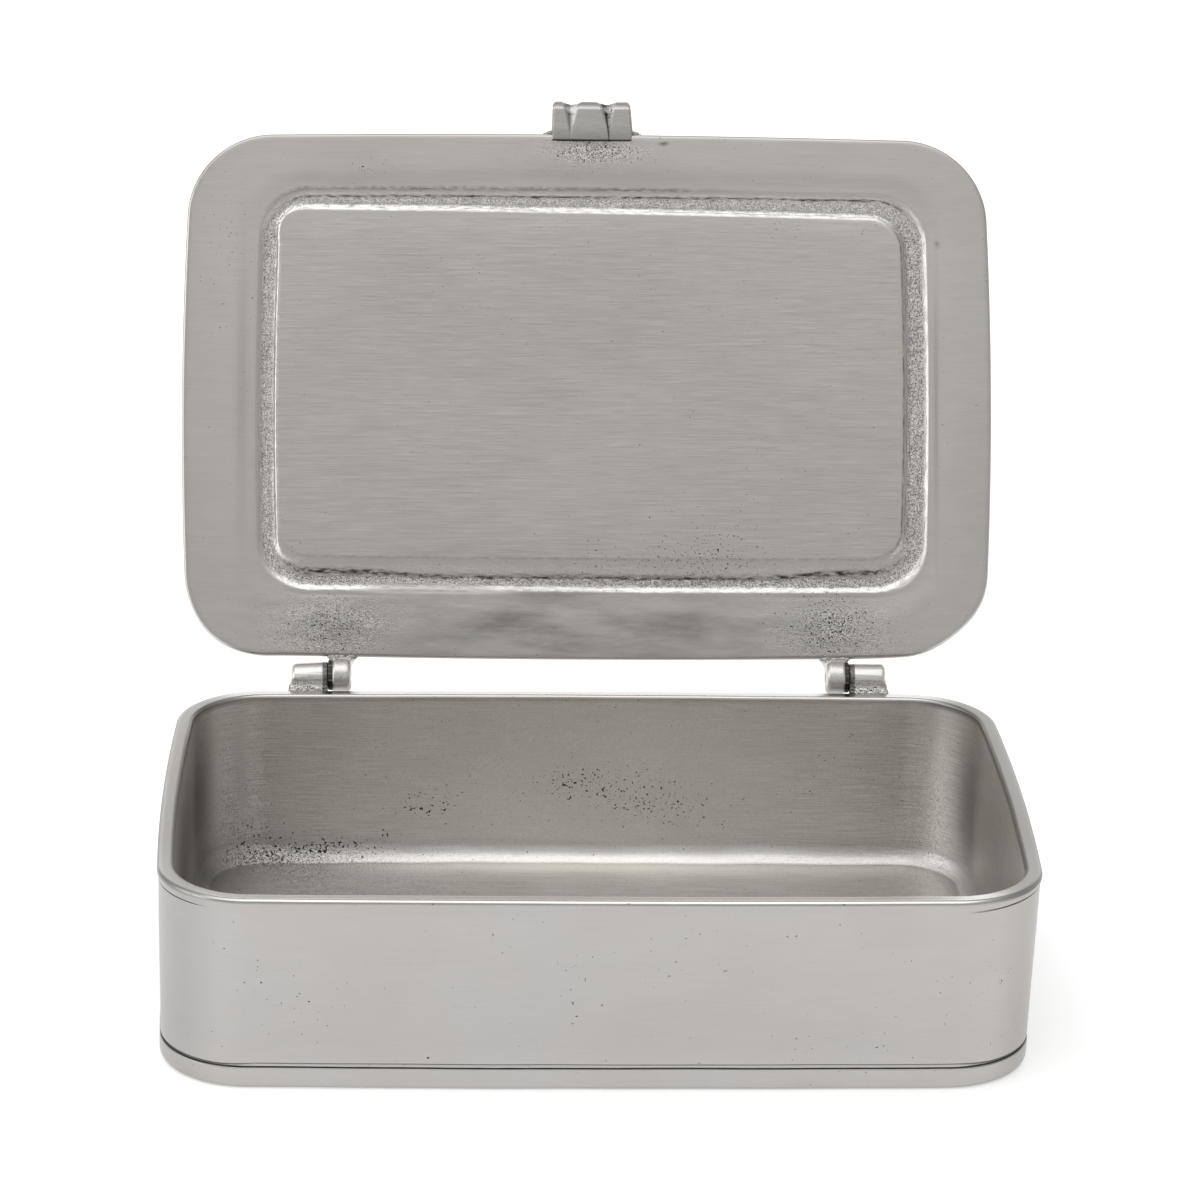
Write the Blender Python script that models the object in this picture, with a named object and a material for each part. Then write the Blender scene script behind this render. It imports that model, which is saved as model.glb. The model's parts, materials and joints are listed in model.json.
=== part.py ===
"""Pewter lidded box for keepsakes.

A cast tub with a turned-over rim, and a flat cast lid whose underside has a channel round a plain
panel. Two small hinges are soldered behind the rim: each has a lug on the tub, a knuckle on the lid
and a pin through both. A thumbpiece of three lobes is soldered to the lid's front edge.

Lengths are in metres. +Z is up, the front faces -Y, and the origin is the centre of the tub's
underside. The lid is modelled shut, in the hinge's own frame, and is then swung open to its stop.
"""
import math

import bmesh
import bpy
from mathutils import Vector

# Tub: outside
BOX_WIDTH = 0.1500
BOX_DEPTH = 0.0980
BOX_HEIGHT = 0.0345
CORNER_RADIUS = 0.0160
LONG_SIDE_BOW = 0.0009
END_BOW = 0.0016
WALL_TAPER = 0.0006
BASE_EDGE_ROUND = 0.0012

# Tub: rim and inside
RIM_WIDTH = 0.0029
RIM_OUTER_ROUND = 0.0008
RIM_INNER_ROUND = 0.0006
LIP_OVERHANG = 0.0004
LIP_HEIGHT = 0.0013
INNER_DRAFT = 0.0006
FLOOR_THICKNESS = 0.0026
FLOOR_FILLET = 0.0040

# Tub: incised lines, two above the base and one under the rim
BASE_LINE_HEIGHT = 0.00400
BASE_LINE_SPACING = 0.00075
RIM_LINE_DROP = 0.0018
LINE_WIDTH = 0.00035
LINE_DEPTH = 0.00025

# Lid plate
LID_OVERHANG = 0.0006
LID_THICKNESS = 0.0023
LID_UNDER_ROUND = 0.0006
LID_TOP_ROUND = 0.0011
SEAT_GAP = 0.0003

# Lid moulding: a channel under the lid, and the bead that it raises on top
BORDER_END = 0.0134
BORDER_FRONT = 0.0102
BORDER_REAR = 0.0116
CHANNEL_END_WIDTH = 0.0046
CHANNEL_FRONT_WIDTH = 0.0053
CHANNEL_REAR_WIDTH = 0.0071
CHANNEL_OUTER_CORNER = 0.0098
CHANNEL_INNER_CORNER = 0.0075
CHANNEL_LONG_BOW = 0.0003
CHANNEL_END_BOW = 0.0007
CHANNEL_DEPTH = 0.0011
CHANNEL_SHARES = (
    (0.00, 0.00), (0.08, 0.10), (0.28, 0.90), (0.45, 1.00),
    (0.60, 1.00), (0.80, 0.88), (0.94, 0.10), (1.00, 0.00),
)
BEAD_MARGIN = 0.0010
BEAD_HEIGHT = 0.0011
BEAD_SHARES = (
    (0.00, 0.00), (0.14, 0.16), (0.30, 0.72), (0.42, 0.96),
    (0.58, 0.96), (0.70, 0.72), (0.86, 0.16), (1.00, 0.00),
)

# Hinges
BARREL_RADIUS = 0.0026
BARREL_CLEARANCE = 0.0004
HINGE_RISE = 0.0016
PIN_RADIUS = 0.0009
RUNNING_GAP = 0.0003
LUG_LENGTH = 0.0060
KNUCKLE_LENGTH = 0.0038
LUG_TO_KNUCKLE = 0.0015
CORNER_TO_LUG = 0.0041
BARREL_END_ROUND = 0.0004
PIN_END_INSET = 0.0002
PIN_END_CHAMFER = 0.0002
LID_OPEN_ANGLE = math.radians(114)

# Leaves: one down the back of the tub under each lug, one over the lid behind each knuckle
LEAF_DROP = 0.0072
LEAF_THICKNESS = 0.0013
LEAF_INSET = 0.00015
LEAF_SPREAD = 0.0005
LEAF_EDGE_ROUND = 0.0003
LEAF_GAP = 0.0003
LEAF_SHOULDER_DROP = 0.0012
LEAF_SHOULDER_SPREAD_SHARE = 0.35
LEAF_NECK_SPREAD_SHARE = 0.15
LEAF_FOOT_THICKNESS_SHARE = 0.5
WEB_REAR_SHARE = 0.5
WEB_FRONT_SHARE = 0.96
NECK_SPREAD = 0.0011
NECK_SHARES = ((0.75, 0.33), (0.50, 0.00))
NECK_END_HEIGHT_SHARE = 0.5
TONGUE_THICKNESS = 0.0010
TONGUE_BORDER_SHARE = 0.62
TONGUE_SHOULDER_SHARE = 0.25
TONGUE_END_WIDTH_SHARE = 0.55
TONGUE_END_THICKNESS_SHARE = 0.75

# Thumbpiece
THUMB_BASE_WIDTH = 0.0152
THUMB_TIP_WIDTH = 0.0144
THUMB_LENGTH = 0.0062
THUMB_UNDER_STEP = 0.0003
THUMB_CURL = 0.0011
THUMB_TIP_ROUND = 0.0013
THUMB_SIDE_ROUND = 0.0006
THUMB_SEAM = 0.0003
LOBE_GROOVE_SHARE = 0.47
LOBE_GROOVE_BASE_WIDTH = 0.0004
LOBE_GROOVE_TIP_WIDTH = 0.0028
LOBE_GROOVE_DEPTH = 0.0010
LOBE_CROWN = 0.0003

# Facets
CORNER_STEPS = 10
SIDE_STEPS = 2
FILLET_STEPS = 6
ROUND_STEPS = 3
BARREL_STEPS = 28
BORE_STEPS = 20
THUMB_STEPS = 5
SMOOTH_ANGLE = math.radians(35)

# Derived places
HALF_WIDTH = BOX_WIDTH / 2
HALF_DEPTH = BOX_DEPTH / 2
HINGE_Y = HALF_DEPTH + BARREL_CLEARANCE + BARREL_RADIUS
HINGE_Z = BOX_HEIGHT + HINGE_RISE
LUG_OUTER_X = HALF_WIDTH - CORNER_RADIUS - CORNER_TO_LUG
LUG_INNER_X = LUG_OUTER_X - LUG_LENGTH
KNUCKLE_OUTER_X = LUG_INNER_X - LUG_TO_KNUCKLE
KNUCKLE_INNER_X = KNUCKLE_OUTER_X - KNUCKLE_LENGTH
BORE_RADIUS = PIN_RADIUS + RUNNING_GAP
LID_UNDERSIDE_Z = BOX_HEIGHT + SEAT_GAP - HINGE_Z
LID_TOP_Z = LID_UNDERSIDE_Z + LID_THICKNESS
LIP_START_Z = BOX_HEIGHT - LIP_HEIGHT

PEWTER_TUB = ((0.48, 0.465, 0.45, 1.0), 0.42)
PEWTER_LID = ((0.42, 0.405, 0.385, 1.0), 0.45)
PEWTER_FITTING = ((0.50, 0.485, 0.47, 1.0), 0.32)
PIN_STEEL = ((0.30, 0.29, 0.28, 1.0), 0.35)


class BowedRectangle:
    """A rounded rectangle whose four sides bow outwards a little.

    Each side is one arc of large radius, and each corner is an arc tangent to its two sides. A ring
    set in by any distance keeps the same centres, so it stays parallel to the outline.
    """

    def __init__(self, half_x, front_y, rear_y, corner_radius, long_bow, end_bow):
        self.middle_y = (front_y + rear_y) / 2
        half_y = (rear_y - front_y) / 2
        self.long_radius = (half_x ** 2 + long_bow ** 2) / (2 * long_bow)
        self.end_radius = (half_y ** 2 + end_bow ** 2) / (2 * end_bow)
        self.corner_radius = corner_radius
        self.long_centre = Vector((0, half_y - self.long_radius))
        self.end_centre = Vector((half_x - self.end_radius, 0))
        self.corner_centre = self.tangent_corner()
        self.end_angle = self.angle_from(self.end_centre)
        self.long_angle = self.angle_from(self.long_centre)

    def tangent_corner(self):
        """Centre of the corner arc: where the two sides' arcs, both set in by its radius, cross."""
        between = self.long_centre - self.end_centre
        distance = between.length
        along = between / distance
        reach_end = self.end_radius - self.corner_radius
        reach_long = self.long_radius - self.corner_radius
        foot = (distance ** 2 + reach_end ** 2 - reach_long ** 2) / (2 * distance)
        height = math.sqrt(reach_end ** 2 - foot ** 2)
        return self.end_centre + along * foot + Vector((-along.y, along.x)) * height

    def angle_from(self, centre):
        """Direction in which a side's arc meets the corner arc."""
        towards = self.corner_centre - centre
        return math.atan2(towards.y, towards.x)

    def quarter(self, inset):
        """Points of the quarter with x and y above zero, from the end's middle up to the long side's."""
        arcs = (
            (self.end_centre, self.end_radius, 0, self.end_angle, SIDE_STEPS),
            (self.corner_centre, self.corner_radius, self.end_angle, self.long_angle, CORNER_STEPS),
            (self.long_centre, self.long_radius, self.long_angle, math.pi / 2, SIDE_STEPS),
        )
        points = []
        for centre, radius, start, end, steps in arcs:
            for step in range(steps):
                angle = start + (end - start) * step / steps
                direction = Vector((math.cos(angle), math.sin(angle)))
                points.append(centre + direction * (radius - inset))
        return points

    def ring(self, inset, z):
        """Closed ring of points at height z, set in from the outline, anticlockwise from above."""
        quarter = self.quarter(inset)
        apex = Vector((0, self.long_centre.y + self.long_radius - inset))
        rear_right = quarter + [apex]
        rear_left = [Vector((-p.x, p.y)) for p in reversed(quarter)]
        half = rear_right + rear_left
        front = [Vector((p.x, -p.y)) for p in reversed(half[1:-1])]
        return [Vector((p.x, p.y + self.middle_y, z)) for p in half + front]

    def rear_y(self, x, inset):
        """Y of the rear side's arc at x, set in from the outline."""
        reach = self.long_radius - inset
        return self.middle_y + self.long_centre.y + math.sqrt(reach ** 2 - x ** 2)


def arc(centre_in, centre_z, radius, start_degrees, end_degrees, steps):
    """Profile points (inset, z) round an arc, both ends included."""
    points = []
    for step in range(steps + 1):
        angle = math.radians(start_degrees + (end_degrees - start_degrees) * step / steps)
        points.append((centre_in + radius * math.cos(angle), centre_z + radius * math.sin(angle)))
    return points


def blend(ring_a, ring_b, share, rise):
    """Ring between two level rings of as many points, share 0 at the first and 1 at the second."""
    lift = Vector((0, 0, rise))
    return [a.lerp(b, share) + lift for a, b in zip(ring_a, ring_b)]


def clear_scene():
    for item in list(bpy.data.objects):
        bpy.data.objects.remove(item, do_unlink=True)


def metal(name, finish):
    """Principled material of a bare metal piece."""
    colour, roughness = finish
    material = bpy.data.materials.new(name)
    material.use_nodes = True
    shader = material.node_tree.nodes["Principled BSDF"]
    shader.inputs["Base Color"].default_value = colour
    shader.inputs["Metallic"].default_value = 1.0
    shader.inputs["Roughness"].default_value = roughness
    material.diffuse_color = colour
    return material


def add_object(name, mesh, finish=None, parent=None):
    """Link an object with its own material; without a finish it is a guide that only shapes others."""
    item = bpy.data.objects.new(name, mesh)
    bpy.context.scene.collection.objects.link(item)
    if finish:
        mesh.materials.append(metal(name + "_metal", finish))
        mesh.shade_smooth()
        mesh.set_sharp_from_angle(angle=SMOOTH_ANGLE)
    else:
        item.hide_render = True
        item.display_type = "WIRE"
    item.parent = parent
    return item


def skin_rings(name, rings):
    """Mesh of quads between each ring and the next, with the first and last ring capped.

    All faces wind alike, so one test of the volume's sign turns them outwards.
    """
    shell = bmesh.new()
    rows = [[shell.verts.new(point) for point in ring] for ring in rings]
    for row, next_row in zip(rows, rows[1:]):
        for index in range(len(row)):
            after = (index + 1) % len(row)
            shell.faces.new((row[index], row[after], next_row[after], next_row[index]))
    shell.faces.new(rows[0][::-1])
    shell.faces.new(rows[-1])
    if shell.calc_volume(signed=True) < 0:
        bmesh.ops.reverse_faces(shell, faces=shell.faces)
    mesh = bpy.data.meshes.new(name)
    shell.to_mesh(mesh)
    shell.free()
    return mesh


def turned_bar(name, start_x, end_x, radius, end_round, steps, y=0, z=0):
    """Mesh of a round bar along X, between two places in either order, with its end edges chamfered."""
    low_x, high_x = sorted((start_x, end_x))
    stations = (
        (low_x, radius - end_round),
        (low_x + end_round, radius),
        (high_x - end_round, radius),
        (high_x, radius - end_round),
    )
    turns = [2 * math.pi * step / steps for step in range(steps)]
    rings = []
    for x, reach in stations:
        rings.append([Vector((x, y + reach * math.cos(turn), z + reach * math.sin(turn))) for turn in turns])
    return skin_rings(name, rings)


def rounded_section(low_u, high_u, low_v, high_v, edge_round):
    """Points (u, v) round a rectangle with rounded corners, anticlockwise."""
    corners = (
        (high_u - edge_round, high_v - edge_round, 0),
        (low_u + edge_round, high_v - edge_round, 90),
        (low_u + edge_round, low_v + edge_round, 180),
        (high_u - edge_round, low_v + edge_round, 270),
    )
    points = []
    for centre_u, centre_v, start in corners:
        points += arc(centre_u, centre_v, edge_round, start, start + 90, ROUND_STEPS - 1)
    return points


def tub_outline():
    return BowedRectangle(HALF_WIDTH, -HALF_DEPTH, HALF_DEPTH, CORNER_RADIUS, LONG_SIDE_BOW, END_BOW)


def wall_inset(z):
    """Inset of the tub's outer wall, which leans in a little towards the base."""
    return LIP_OVERHANG + WALL_TAPER * (1 - z / LIP_START_Z)


def incised_line(height):
    """Profile points of a V cut in the outer wall."""
    return [
        (wall_inset(height - LINE_WIDTH / 2), height - LINE_WIDTH / 2),
        (wall_inset(height) + LINE_DEPTH, height),
        (wall_inset(height + LINE_WIDTH / 2), height + LINE_WIDTH / 2),
    ]


def tub_profile():
    """Profile (inset, z) from the underside up the outer wall, over the rim and down to the floor."""
    base_in = wall_inset(0) + BASE_EDGE_ROUND
    outer_round_z = BOX_HEIGHT - RIM_OUTER_ROUND
    inner_round_in = RIM_WIDTH - RIM_INNER_ROUND
    inner_round_z = BOX_HEIGHT - RIM_INNER_ROUND
    fillet_in = RIM_WIDTH + INNER_DRAFT + FLOOR_FILLET
    fillet_z = FLOOR_THICKNESS + FLOOR_FILLET
    profile = arc(base_in, BASE_EDGE_ROUND, BASE_EDGE_ROUND, 270, 180, ROUND_STEPS)
    profile += incised_line(BASE_LINE_HEIGHT)
    profile += incised_line(BASE_LINE_HEIGHT + BASE_LINE_SPACING)
    profile += incised_line(BOX_HEIGHT - RIM_LINE_DROP)
    profile.append((LIP_OVERHANG, LIP_START_Z))
    profile += arc(RIM_OUTER_ROUND, outer_round_z, RIM_OUTER_ROUND, 180, 90, ROUND_STEPS)
    profile += arc(inner_round_in, inner_round_z, RIM_INNER_ROUND, 90, 0, ROUND_STEPS)
    profile += arc(fillet_in, fillet_z, FLOOR_FILLET, 180, 270, FILLET_STEPS)
    return profile


def add_tub():
    outline = tub_outline()
    rings = [outline.ring(inset, z) for inset, z in tub_profile()]
    return add_object("box_body", skin_rings("box_body", rings), PEWTER_TUB)


def lid_plate_outline():
    """Outline of the shut lid in the hinge's frame."""
    half_x = HALF_WIDTH + LID_OVERHANG
    front_y = -HALF_DEPTH - HINGE_Y
    rear_y = HALF_DEPTH - HINGE_Y
    return BowedRectangle(half_x, front_y, rear_y, CORNER_RADIUS, LONG_SIDE_BOW, END_BOW)


def channel_outlines():
    """Outer and inner outlines of the channel, set in from the lid's edges."""
    outer_x = HALF_WIDTH + LID_OVERHANG - BORDER_END
    outer_front = BORDER_FRONT - HALF_DEPTH - HINGE_Y
    outer_rear = HALF_DEPTH - BORDER_REAR - HINGE_Y
    outer = BowedRectangle(
        outer_x, outer_front, outer_rear, CHANNEL_OUTER_CORNER, CHANNEL_LONG_BOW, CHANNEL_END_BOW)
    inner_x = outer_x - CHANNEL_END_WIDTH
    inner_front = outer_front + CHANNEL_FRONT_WIDTH
    inner_rear = outer_rear - CHANNEL_REAR_WIDTH
    inner = BowedRectangle(
        inner_x, inner_front, inner_rear, CHANNEL_INNER_CORNER, CHANNEL_LONG_BOW, CHANNEL_END_BOW)
    return outer, inner


def add_lid(hinge_frame):
    """Lid plate, skinned from the underside's panel out to the edge and back over the top."""
    plate = lid_plate_outline()
    outer, inner = channel_outlines()
    panel_edge = inner.ring(0, LID_UNDERSIDE_Z)
    border_edge = outer.ring(0, LID_UNDERSIDE_Z)
    rings = [blend(panel_edge, border_edge, share, CHANNEL_DEPTH * depth) for share, depth in CHANNEL_SHARES]
    edge = arc(LID_UNDER_ROUND, LID_UNDERSIDE_Z + LID_UNDER_ROUND, LID_UNDER_ROUND, 270, 180, ROUND_STEPS)
    edge += arc(LID_TOP_ROUND, LID_TOP_Z - LID_TOP_ROUND, LID_TOP_ROUND, 180, 90, ROUND_STEPS)
    rings += [plate.ring(inset, z) for inset, z in edge]
    bead_outer = outer.ring(-BEAD_MARGIN, LID_TOP_Z)
    bead_inner = inner.ring(BEAD_MARGIN, LID_TOP_Z)
    rings += [blend(bead_outer, bead_inner, share, BEAD_HEIGHT * height) for share, height in BEAD_SHARES]
    return add_object("lid", skin_rings("lid", rings), PEWTER_LID, hinge_frame)


def thumb_groove_notch(x, centre, half_width):
    """How deep into a V groove x lies: 1 on its bottom line, 0 at its edges and outside."""
    return max(0, 1 - abs(x - centre) / half_width)


def thumb_station(along):
    """Half width, lower z, upper z and groove half width at a share of the thumbpiece's length."""
    half_width = (THUMB_BASE_WIDTH + (THUMB_TIP_WIDTH - THUMB_BASE_WIDTH) * along) / 2
    low = LID_UNDERSIDE_Z + THUMB_UNDER_STEP
    high = LID_TOP_Z + THUMB_CURL * along ** 2
    groove = (LOBE_GROOVE_BASE_WIDTH + (LOBE_GROOVE_TIP_WIDTH - LOBE_GROOVE_BASE_WIDTH) * along) / 2
    return half_width, low, high, groove


def thumb_ring(along, y, tuck):
    """Ring round the thumbpiece at y; tuck draws the ring in on all sides to round the tip."""
    half_width, low, high, groove = thumb_station(along)
    half_width -= tuck * THUMB_SIDE_ROUND
    low += tuck * THUMB_TIP_ROUND
    high -= tuck * THUMB_TIP_ROUND
    offset = half_width * LOBE_GROOVE_SHARE
    depth = LOBE_GROOVE_DEPTH * along * (1 - tuck)
    flat_edge = half_width - THUMB_SIDE_ROUND
    right_side = [0, (offset - groove) / 2, offset - groove, offset, offset + groove]
    right_side += [(offset + groove + flat_edge) / 2, flat_edge]
    places = [-x for x in reversed(right_side[1:])] + right_side
    lower = []
    upper = []
    for x in places:
        notch = thumb_groove_notch(abs(x), offset, groove)
        crown = LOBE_CROWN * (1 - (x / half_width) ** 2)
        lower.append(Vector((x, y, low + depth * notch)))
        upper.append(Vector((x, y, high + crown - depth * notch)))
    side_low = low + THUMB_SIDE_ROUND
    side_high = high - THUMB_SIDE_ROUND
    right = [Vector((half_width, y, side_low)), Vector((half_width, y, side_high))]
    left = [Vector((-half_width, y, side_high)), Vector((-half_width, y, side_low))]
    return lower + right + upper[::-1] + left


def add_thumbpiece(hinge_frame):
    base_y = -HALF_DEPTH - HINGE_Y - THUMB_SEAM
    straight = THUMB_LENGTH - THUMB_TIP_ROUND
    rings = []
    for step in range(THUMB_STEPS + 1):
        run = straight * step / THUMB_STEPS
        rings.append(thumb_ring(run / THUMB_LENGTH, base_y - run, 0))
    for step in range(1, ROUND_STEPS + 1):
        angle = math.pi / 2 * step / (ROUND_STEPS + 1)
        run = straight + THUMB_TIP_ROUND * math.sin(angle)
        rings.append(thumb_ring(run / THUMB_LENGTH, base_y - run, 1 - math.cos(angle)))
    return add_object("thumbpiece", skin_rings("thumbpiece", rings), PEWTER_FITTING, hinge_frame)


def shape_with_barrel(item, barrel, bore):
    """Fuse a leaf with its barrel and drill the pin's bore."""
    for guide, operation in ((barrel, "UNION"), (bore, "DIFFERENCE")):
        modifier = item.modifiers.new(guide.name, "BOOLEAN")
        modifier.operation = operation
        modifier.object = guide


def add_lug(side_name, side, bore):
    """Tub half of a hinge: a barrel on a web, with a leaf down the back wall, wider at its foot.

    The web's front slopes from the rim's edge up to the front of the barrel, so the two run flush.
    """
    outline = tub_outline()
    inner_x = LUG_INNER_X + LEAF_INSET
    outer_x = LUG_OUTER_X - LEAF_INSET
    lip_y = outline.rear_y(LUG_INNER_X, 0) + LEAF_GAP
    neck_y = outline.rear_y(LUG_INNER_X, wall_inset(LIP_START_Z)) + LEAF_GAP
    web_rear_y = HINGE_Y + BARREL_RADIUS * WEB_REAR_SHARE
    web_front_y = HINGE_Y - BARREL_RADIUS * WEB_FRONT_SHARE
    foot_z = BOX_HEIGHT - LEAF_DROP
    foot_y = outline.rear_y(LUG_INNER_X, wall_inset(foot_z)) + LEAF_GAP
    shoulder_z = LIP_START_Z - LEAF_SHOULDER_DROP
    shoulder_spread = LEAF_SPREAD * LEAF_SHOULDER_SPREAD_SHARE
    neck_spread = LEAF_SPREAD * LEAF_NECK_SPREAD_SHARE
    stations = (
        (foot_z, foot_y, foot_y + LEAF_THICKNESS * LEAF_FOOT_THICKNESS_SHARE, LEAF_SPREAD),
        (foot_z + LEAF_EDGE_ROUND, foot_y, foot_y + LEAF_THICKNESS, LEAF_SPREAD),
        (shoulder_z, neck_y, neck_y + LEAF_THICKNESS, shoulder_spread),
        (LIP_START_Z, lip_y, web_rear_y, neck_spread),
        (BOX_HEIGHT, lip_y, web_rear_y, neck_spread),
        (HINGE_Z, web_front_y, web_rear_y, 0),
    )
    rings = []
    for z, front_y, rear_y, spread in stations:
        section = rounded_section(inner_x - spread, outer_x + spread, front_y, rear_y, LEAF_EDGE_ROUND)
        rings.append([Vector((side * x, y, z)) for x, y in section])
    name = "hinge_lug_" + side_name
    lug = add_object(name, skin_rings(name, rings), PEWTER_FITTING)
    barrel_mesh = turned_bar(
        "lug_barrel_" + side_name, side * LUG_INNER_X, side * LUG_OUTER_X, BARREL_RADIUS,
        BARREL_END_ROUND, BARREL_STEPS, HINGE_Y, HINGE_Z)
    shape_with_barrel(lug, add_object(barrel_mesh.name, barrel_mesh), bore)
    return lug


def add_knuckle(side_name, side, bore, hinge_frame):
    """Lid half of a hinge: a barrel, a neck that flares to the lid's edge and a tongue over the lid."""
    middle_x = (KNUCKLE_INNER_X + KNUCKLE_OUTER_X) / 2
    neck_half = KNUCKLE_LENGTH / 2 - LEAF_INSET
    edge_half = neck_half + NECK_SPREAD
    edge_y = lid_plate_outline().rear_y(KNUCKLE_INNER_X, 0) + LEAF_GAP
    tongue_y = HALF_DEPTH - HINGE_Y - TONGUE_BORDER_SHARE * (BORDER_REAR - BEAD_MARGIN)
    tongue_low = LID_TOP_Z + LEAF_GAP
    tongue_high = tongue_low + TONGUE_THICKNESS
    tongue_end_high = tongue_low + TONGUE_THICKNESS * TONGUE_END_THICKNESS_SHARE
    shoulder_y = tongue_y + (edge_y - tongue_y) * TONGUE_SHOULDER_SHARE
    end_low = LID_UNDERSIDE_Z * NECK_END_HEIGHT_SHARE
    end_high = tongue_high * NECK_END_HEIGHT_SHARE
    stations = [
        (tongue_y, edge_half * TONGUE_END_WIDTH_SHARE, tongue_low, tongue_end_high),
        (shoulder_y, edge_half, tongue_low, tongue_high),
        (edge_y, edge_half, tongue_low, tongue_high),
        (edge_y + LEAF_EDGE_ROUND, edge_half, LID_UNDERSIDE_Z, tongue_high),
    ]
    for reach_share, spread_share in NECK_SHARES:
        half = neck_half + NECK_SPREAD * spread_share
        stations.append((edge_y * reach_share, half, LID_UNDERSIDE_Z, tongue_high))
    stations.append((0, neck_half, end_low, end_high))
    rings = []
    for y, half, low, high in stations:
        section = rounded_section(middle_x - half, middle_x + half, low, high, LEAF_EDGE_ROUND)
        rings.append([Vector((side * x, y, z)) for x, z in section])
    name = "lid_knuckle_" + side_name
    knuckle = add_object(name, skin_rings(name, rings), PEWTER_FITTING, hinge_frame)
    barrel_mesh = turned_bar(
        "knuckle_barrel_" + side_name, side * KNUCKLE_INNER_X, side * KNUCKLE_OUTER_X, BARREL_RADIUS,
        BARREL_END_ROUND, BARREL_STEPS)
    shape_with_barrel(knuckle, add_object(barrel_mesh.name, barrel_mesh, parent=hinge_frame), bore)
    return knuckle


def add_hinges(hinge_frame):
    for side_name, side in (("left", -1), ("right", 1)):
        bore_mesh = turned_bar(
            "pin_bore_" + side_name, side * (KNUCKLE_INNER_X - LUG_TO_KNUCKLE),
            side * (LUG_OUTER_X + LUG_TO_KNUCKLE), BORE_RADIUS, 0, BORE_STEPS, HINGE_Y, HINGE_Z)
        bore = add_object(bore_mesh.name, bore_mesh)
        add_lug(side_name, side, bore)
        add_knuckle(side_name, side, bore, hinge_frame)
        pin_start = side * (KNUCKLE_INNER_X + PIN_END_INSET)
        pin_end = side * (LUG_OUTER_X - PIN_END_INSET)
        pin_mesh = turned_bar(
            "hinge_pin_" + side_name, pin_start, pin_end, PIN_RADIUS, PIN_END_CHAMFER, BORE_STEPS,
            HINGE_Y, HINGE_Z)
        add_object(pin_mesh.name, pin_mesh, PIN_STEEL)


def add_hinge_frame():
    """Empty on the hinge's axis that carries the lid and swings it open."""
    frame = bpy.data.objects.new("lid_hinge_axis", None)
    bpy.context.scene.collection.objects.link(frame)
    frame.location = (0, HINGE_Y, HINGE_Z)
    frame.rotation_euler.x = -LID_OPEN_ANGLE
    return frame


def main():
    clear_scene()
    hinge_frame = add_hinge_frame()
    add_tub()
    add_lid(hinge_frame)
    add_thumbpiece(hinge_frame)
    add_hinges(hinge_frame)


main()
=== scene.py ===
"""Pewter lidded box: its finished surfaces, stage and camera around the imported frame.

The file is laid out as an add-on and is run as a script. Each operator makes one piece, or one group
of like pieces, from the sizes and colours in the property groups. Lengths are in metres. The lid's
pieces are worked out shut, in the hinge's own frame, and are then swung open to its stop.
"""
import json
import math

import bpy
import numpy as np
from bpy.props import FloatProperty, FloatVectorProperty
from mathutils import Matrix, Vector


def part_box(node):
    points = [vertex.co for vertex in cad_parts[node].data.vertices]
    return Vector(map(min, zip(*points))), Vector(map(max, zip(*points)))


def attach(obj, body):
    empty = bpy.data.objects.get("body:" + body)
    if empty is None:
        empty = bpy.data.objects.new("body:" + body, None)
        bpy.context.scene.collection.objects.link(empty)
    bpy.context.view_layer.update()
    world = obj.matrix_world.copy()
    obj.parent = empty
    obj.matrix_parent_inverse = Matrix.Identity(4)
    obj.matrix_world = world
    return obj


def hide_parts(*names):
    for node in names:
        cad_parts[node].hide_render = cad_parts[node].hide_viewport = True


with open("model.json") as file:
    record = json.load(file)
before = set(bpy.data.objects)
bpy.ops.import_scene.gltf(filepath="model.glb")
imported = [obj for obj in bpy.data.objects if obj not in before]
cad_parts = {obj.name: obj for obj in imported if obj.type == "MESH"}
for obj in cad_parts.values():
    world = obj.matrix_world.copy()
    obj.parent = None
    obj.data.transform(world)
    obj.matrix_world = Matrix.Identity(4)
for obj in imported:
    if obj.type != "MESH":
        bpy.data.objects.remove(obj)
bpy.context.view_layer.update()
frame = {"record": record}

bl_info = {
    "name": "Pewter lidded box",
    "version": (1, 0, 0),
    "blender": (4, 5, 0),
    "location": "3D View > Sidebar > Pewter box",
    "description": "Makes the finished surfaces of a pewter keepsake box round its frame",
    "category": "Object",
}

MM = 0.001
TUB_LOW, TUB_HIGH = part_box("box_body")
HINGE = frame["record"]["behaviour"]["joints"][0]
HINGE_PLACE = np.array(HINGE["pos_m"])
OPEN_ANGLE = math.radians(HINGE["range_deg"][1])


def amount(label, text, default, **options):
    """Property of a plain number."""
    return FloatProperty(name=label, description=text, default=default, **options)


def length(label, text, default):
    """Property of a length, given in millimetres and kept in metres."""
    return amount(label, text, default * MM, unit="LENGTH", precision=5)


def colour(label, text, default):
    """Property of a colour, as linear red, green and blue."""
    return FloatVectorProperty(
        name=label, description=text, default=default, subtype="COLOR", size=3, min=0, max=1)


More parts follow.
